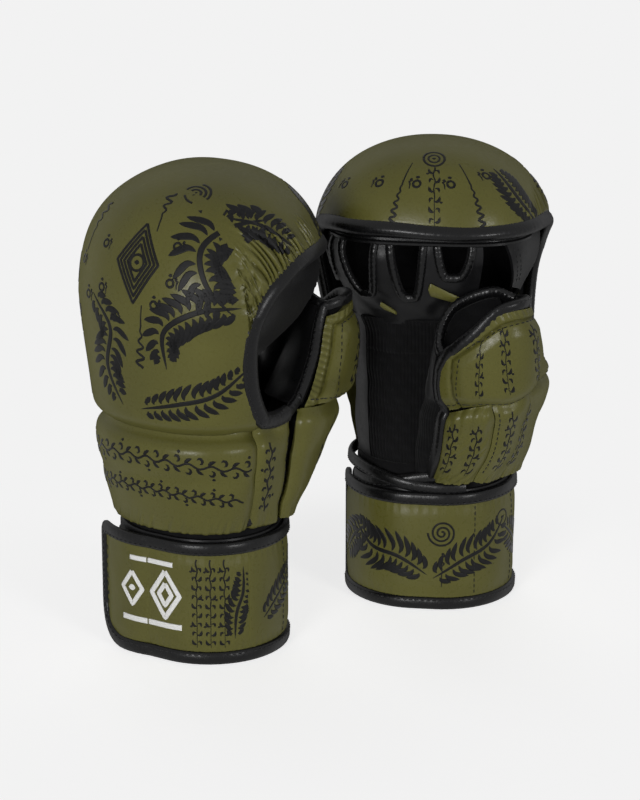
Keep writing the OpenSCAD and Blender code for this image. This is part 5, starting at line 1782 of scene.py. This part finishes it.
class GLOVE_OT_prints(bpy.types.Operator):
    """Adds the printed ornament: fronds, waves, rings, lozenges and dots"""
    bl_idname = "glove.prints"
    bl_label = "Prints"

    def execute(self, context):
        settings = settings_of(context)
        finish = finishes(settings)
        lift = settings.ink_height / MM
        trees = {name: shape_tree(DRAWN[name]) for name in (
            "knuckle", "back", "strip", "heel_a", "heel_b", "tip", "strap_base", "strap_arm", "strap_end")}

        def on_pad(angle, z, strokes, **move):
            return inked(moved(strokes, **move), dome_chart(angle, z), trees["knuckle"], lift)

        knuckle = [
            # Broad fronds over the pleats and down the middle of the back
            on_pad(-46, 224, frond([[26, 22], [4, 20], [-12, 8], [-10, -10], [4, -26]], 15, 19, 4.2)),
            on_pad(-62, 188, frond([[26, 14], [4, 12], [-14, 0], [-12, -20]], 14, 16, 4.2)),
            on_pad(-56, 152, frond([[-34, -8], [-12, -3], [8, 3], [26, 18]], 13, 12, 3.4)),
            on_pad(-112, 172, frond([[-8, 30], [5, 14], [0, -8], [9, -28]], 13, 14, 3.8)),
            on_pad(-20, 238, frond([[-22, 10], [-4, 3], [14, -12]], 9, 12, 3.4)),
            # Ringed medallion between a wave above and a wave below
            on_pad(-92, 222, lozenges([21, 17.4, 13.6, 9.8], 1.7) + ring(4.2, 1.6) + dot(3)),
            on_pad(-84, 247, wave(24, 2.4, 5.5, 1.8)),
            on_pad(-88, 184, wave(34, 2.4, 6, 1.8), turn=176),
            on_pad(-64, 255, spiral(3.2, 8, 1.6)),
            # Over the fingers: long waves between columns of small marks
            on_pad(58, 242, wave(40, 1.7, 4.4, 1.7), turn=176),
            on_pad(84, 242, chain(34, 5.6, 2.4, 1.5)),
            on_pad(108, 242, wave(40, 1.7, 4.4, 1.7), turn=184),
            on_pad(84, 258, ring(5.6, 1.5) + ring(3, 1.3) + dot(2)),
            on_pad(28, 238, frond([[-6, -16], [2, 0], [4, 20]], 11, 12, 3.6)),
            # Little finger's side
            on_pad(172, 230, frond([[2, -20], [-2, 0], [4, 22]], 10, 11, 3.4)),
            on_pad(-150, 208, spiral(3.0, 9, 1.7)),
            on_pad(-150, 164, frond([[4, -28], [-3, -6], [6, 26]], 12, 12, 3.6)),
            on_pad(-132, 234, wave(28, 2.2, 5.5, 1.7)),
        ]
        for angle, z in ((-116, 228), (-70, 232), (-72, 214), (-113, 206), (-104, 192), (-80, 202),
                         (-124, 200), (44, 250), (72, 247), (97, 247), (124, 246), (-134, 216),
                         (-140, 188), (150, 242)):
            knuckle.append(on_pad(angle, z, ring(2.0, 1.5) + moved(wave(6, 0.9, 3, 1.6), x=3.6)
                                  + moved(dot(2.2), y=4)))
        make_piece("knuckle_print", joined(*knuckle), finish["ink"], "glove", crease=180)

        def round_back(z0):
            def to_angle(x, y):
                z = z0 + y + 5 * np.cos(x / 38)
                return -92 + np.degrees(x / 57.0), z
            return wrapped_chart(to_angle, pad_at)
        back = [
            inked(scroll_row(132, 6.6, 3.3, 1.7), round_back(112), trees["back"], lift),
            inked(scroll_row(124, 5.4, 2.6, 1.6), round_back(94), trees["back"], lift),
            inked(scroll_row(40, 5.4, 2.2, 1.5), wrapped_chart(
                lambda x, y: (-13.0 + np.degrees(y / 50.0), 104 + x), pad_at), trees["strip"], lift),
        ]
        make_piece("back_print", joined(*back), finish["ink"], "glove", crease=180)

        def on_thumb(name, u, low, high, strokes):
            def to_angle(x, y):
                z = mix(low, high, 0.5) + y
                return thumb_angle(u, z) + np.degrees(x / 30.0), z
            return inked(strokes, wrapped_chart(to_angle, thumb_at), trees[name], lift)
        heel = [on_thumb("heel_a", 0.3, 80, 128, chain(42, 5.4, 2.6, 1.6)),
                on_thumb("heel_a", 0.48, 80, 128, chain(40, 5.4, 2.5, 1.6)),
                on_thumb("heel_b", 0.72, 78, 122, chain(34, 5.4, 2.5, 1.6)),
                on_thumb("heel_b", 0.88, 78, 122, chain(34, 5.4, 2.5, 1.6))]
        make_piece("thumb_heel_print", joined(*heel), finish["ink"], "glove",
                   bend=THUMB_BEND, crease=180)
        tip = [on_thumb("tip", 0.3, 138, 178, chain(34, 5.4, 2.6, 1.6)),
               on_thumb("tip", 0.5, 136, 176, chain(38, 5.4, 2.6, 1.6)),
               on_thumb("tip", 0.7, 132, 170, chain(32, 5.4, 2.5, 1.6))]
        make_piece("thumb_tip_print", joined(*tip), finish["ink"], "thumb", crease=180)

        # Strap: fronds on the palm side, columns on the arm and the free end
        def on_strap(name, run, strokes, height=STRAP_MIDDLE):
            return inked(strokes, strap_chart(run, height), trees[name], lift)
        palm = [
            on_strap("strap_base", run_at(112),
                     frond([[-24, -14], [-8, -4], [10, 0], [26, 12]], 13, 16, 3.2)),
            on_strap("strap_base", run_at(58), frond([[24, -16], [8, -6], [-10, 2], [-22, 16]], 12, 14, 3.0)),
            on_strap("strap_base", run_at(150), frond([[-16, 12], [-2, 2], [10, -12]], 9, 13, 2.8)),
            on_strap("strap_base", run_at(12), frond([[-18, -12], [-4, -2], [12, 10]], 9, 12, 2.8)),
            on_strap("strap_base", run_at(84), spiral(3, 8, 1.3), 46),
            on_strap("strap_base", run_at(84), wave(20, 1.6, 5, 1.3), 24),
            on_strap("strap_base", run_at(30), ring(4.5, 1.2) + dot(2.2), 50),
        ]
        make_piece("strap_fixed_print", joined(*palm), finish["ink"], "glove", crease=180)
        # White mark: a nested lozenge on the arm, a smaller one on the end, bars above and below
        emblem = (moved(lozenges([13.2], 3.0, 0.66) + lozenges([6.2], 2.8, 0.66), x=8)
                  + moved(lozenges([9.4], 2.8, 0.7) + dot(4.2), x=-13)
                  + [even_stroke([[-20, -17.5], [18, -17.5]], 3.4),
                     even_stroke([[-14, 17.5], [13, 17.5]], 3.0)])
        arm, end, white_arm, white_end = [], [], [], []
        for x in (-39, 23.5, 31, 38.5):
            name, group = ("strap_end", end) if x < END_START else ("strap_arm", arm)
            group.append(on_strap(name, x, chain(50, 5.2, 2.1, 1.4)))
        arm.append(on_strap("strap_arm", 47, frond([[-3, -20], [-2, -6], [2, 6], [2, 20]], 12, 9, 2.6)))
        for name, group in (("strap_arm", white_arm), ("strap_end", white_end)):
            group.append(inked(emblem, strap_chart(-3, 38, name == "strap_end"), trees[name], lift * 1.6))
        for name, meshes, ink, body, bend in (
                ("strap_arm_print", arm, "ink", "glove", ARM_BEND),
                ("strap_end_print", end, "ink", "strap_arm", END_BEND),
                ("strap_arm_emblem", white_arm, "white", "glove", ARM_BEND),
                ("strap_end_emblem", white_end, "white", "strap_arm", END_BEND)):
            make_piece(name, joined(*meshes), finish[ink], body, bend=bend, crease=180)
        return {"FINISHED"}


STEPS = (GLOVE_OT_stage, GLOVE_OT_knuckle_pads, GLOVE_OT_back_pads, GLOVE_OT_thumbs, GLOVE_OT_bindings,
         GLOVE_OT_hands, GLOVE_OT_cuffs, GLOVE_OT_straps, GLOVE_OT_stitching, GLOVE_OT_prints)


class GLOVE_PT_panel(bpy.types.Panel):
    """Lists the pieces of the gloves and their settings"""
    bl_idname = "GLOVE_PT_panel"
    bl_label = "Sparring gloves"
    bl_space_type = "VIEW_3D"
    bl_region_type = "UI"
    bl_category = "Gloves"

    def draw(self, context):
        for key in GloveSettings.__annotations__:
            self.layout.prop(settings_of(context), key)
        for step in STEPS:
            self.layout.operator(step.bl_idname)


def register():
    for cls in (GloveSettings, *STEPS, GLOVE_PT_panel):
        bpy.utils.register_class(cls)
    bpy.types.Scene.glove_settings = bpy.props.PointerProperty(type=GloveSettings)


def unregister():
    del bpy.types.Scene.glove_settings
    for cls in reversed((GloveSettings, *STEPS, GLOVE_PT_panel)):
        bpy.utils.unregister_class(cls)


def main():
    register()
    for step in STEPS:
        group, name = step.bl_idname.split(".")
        getattr(getattr(bpy.ops, group), name)()


if __name__ == "__main__":
    main()
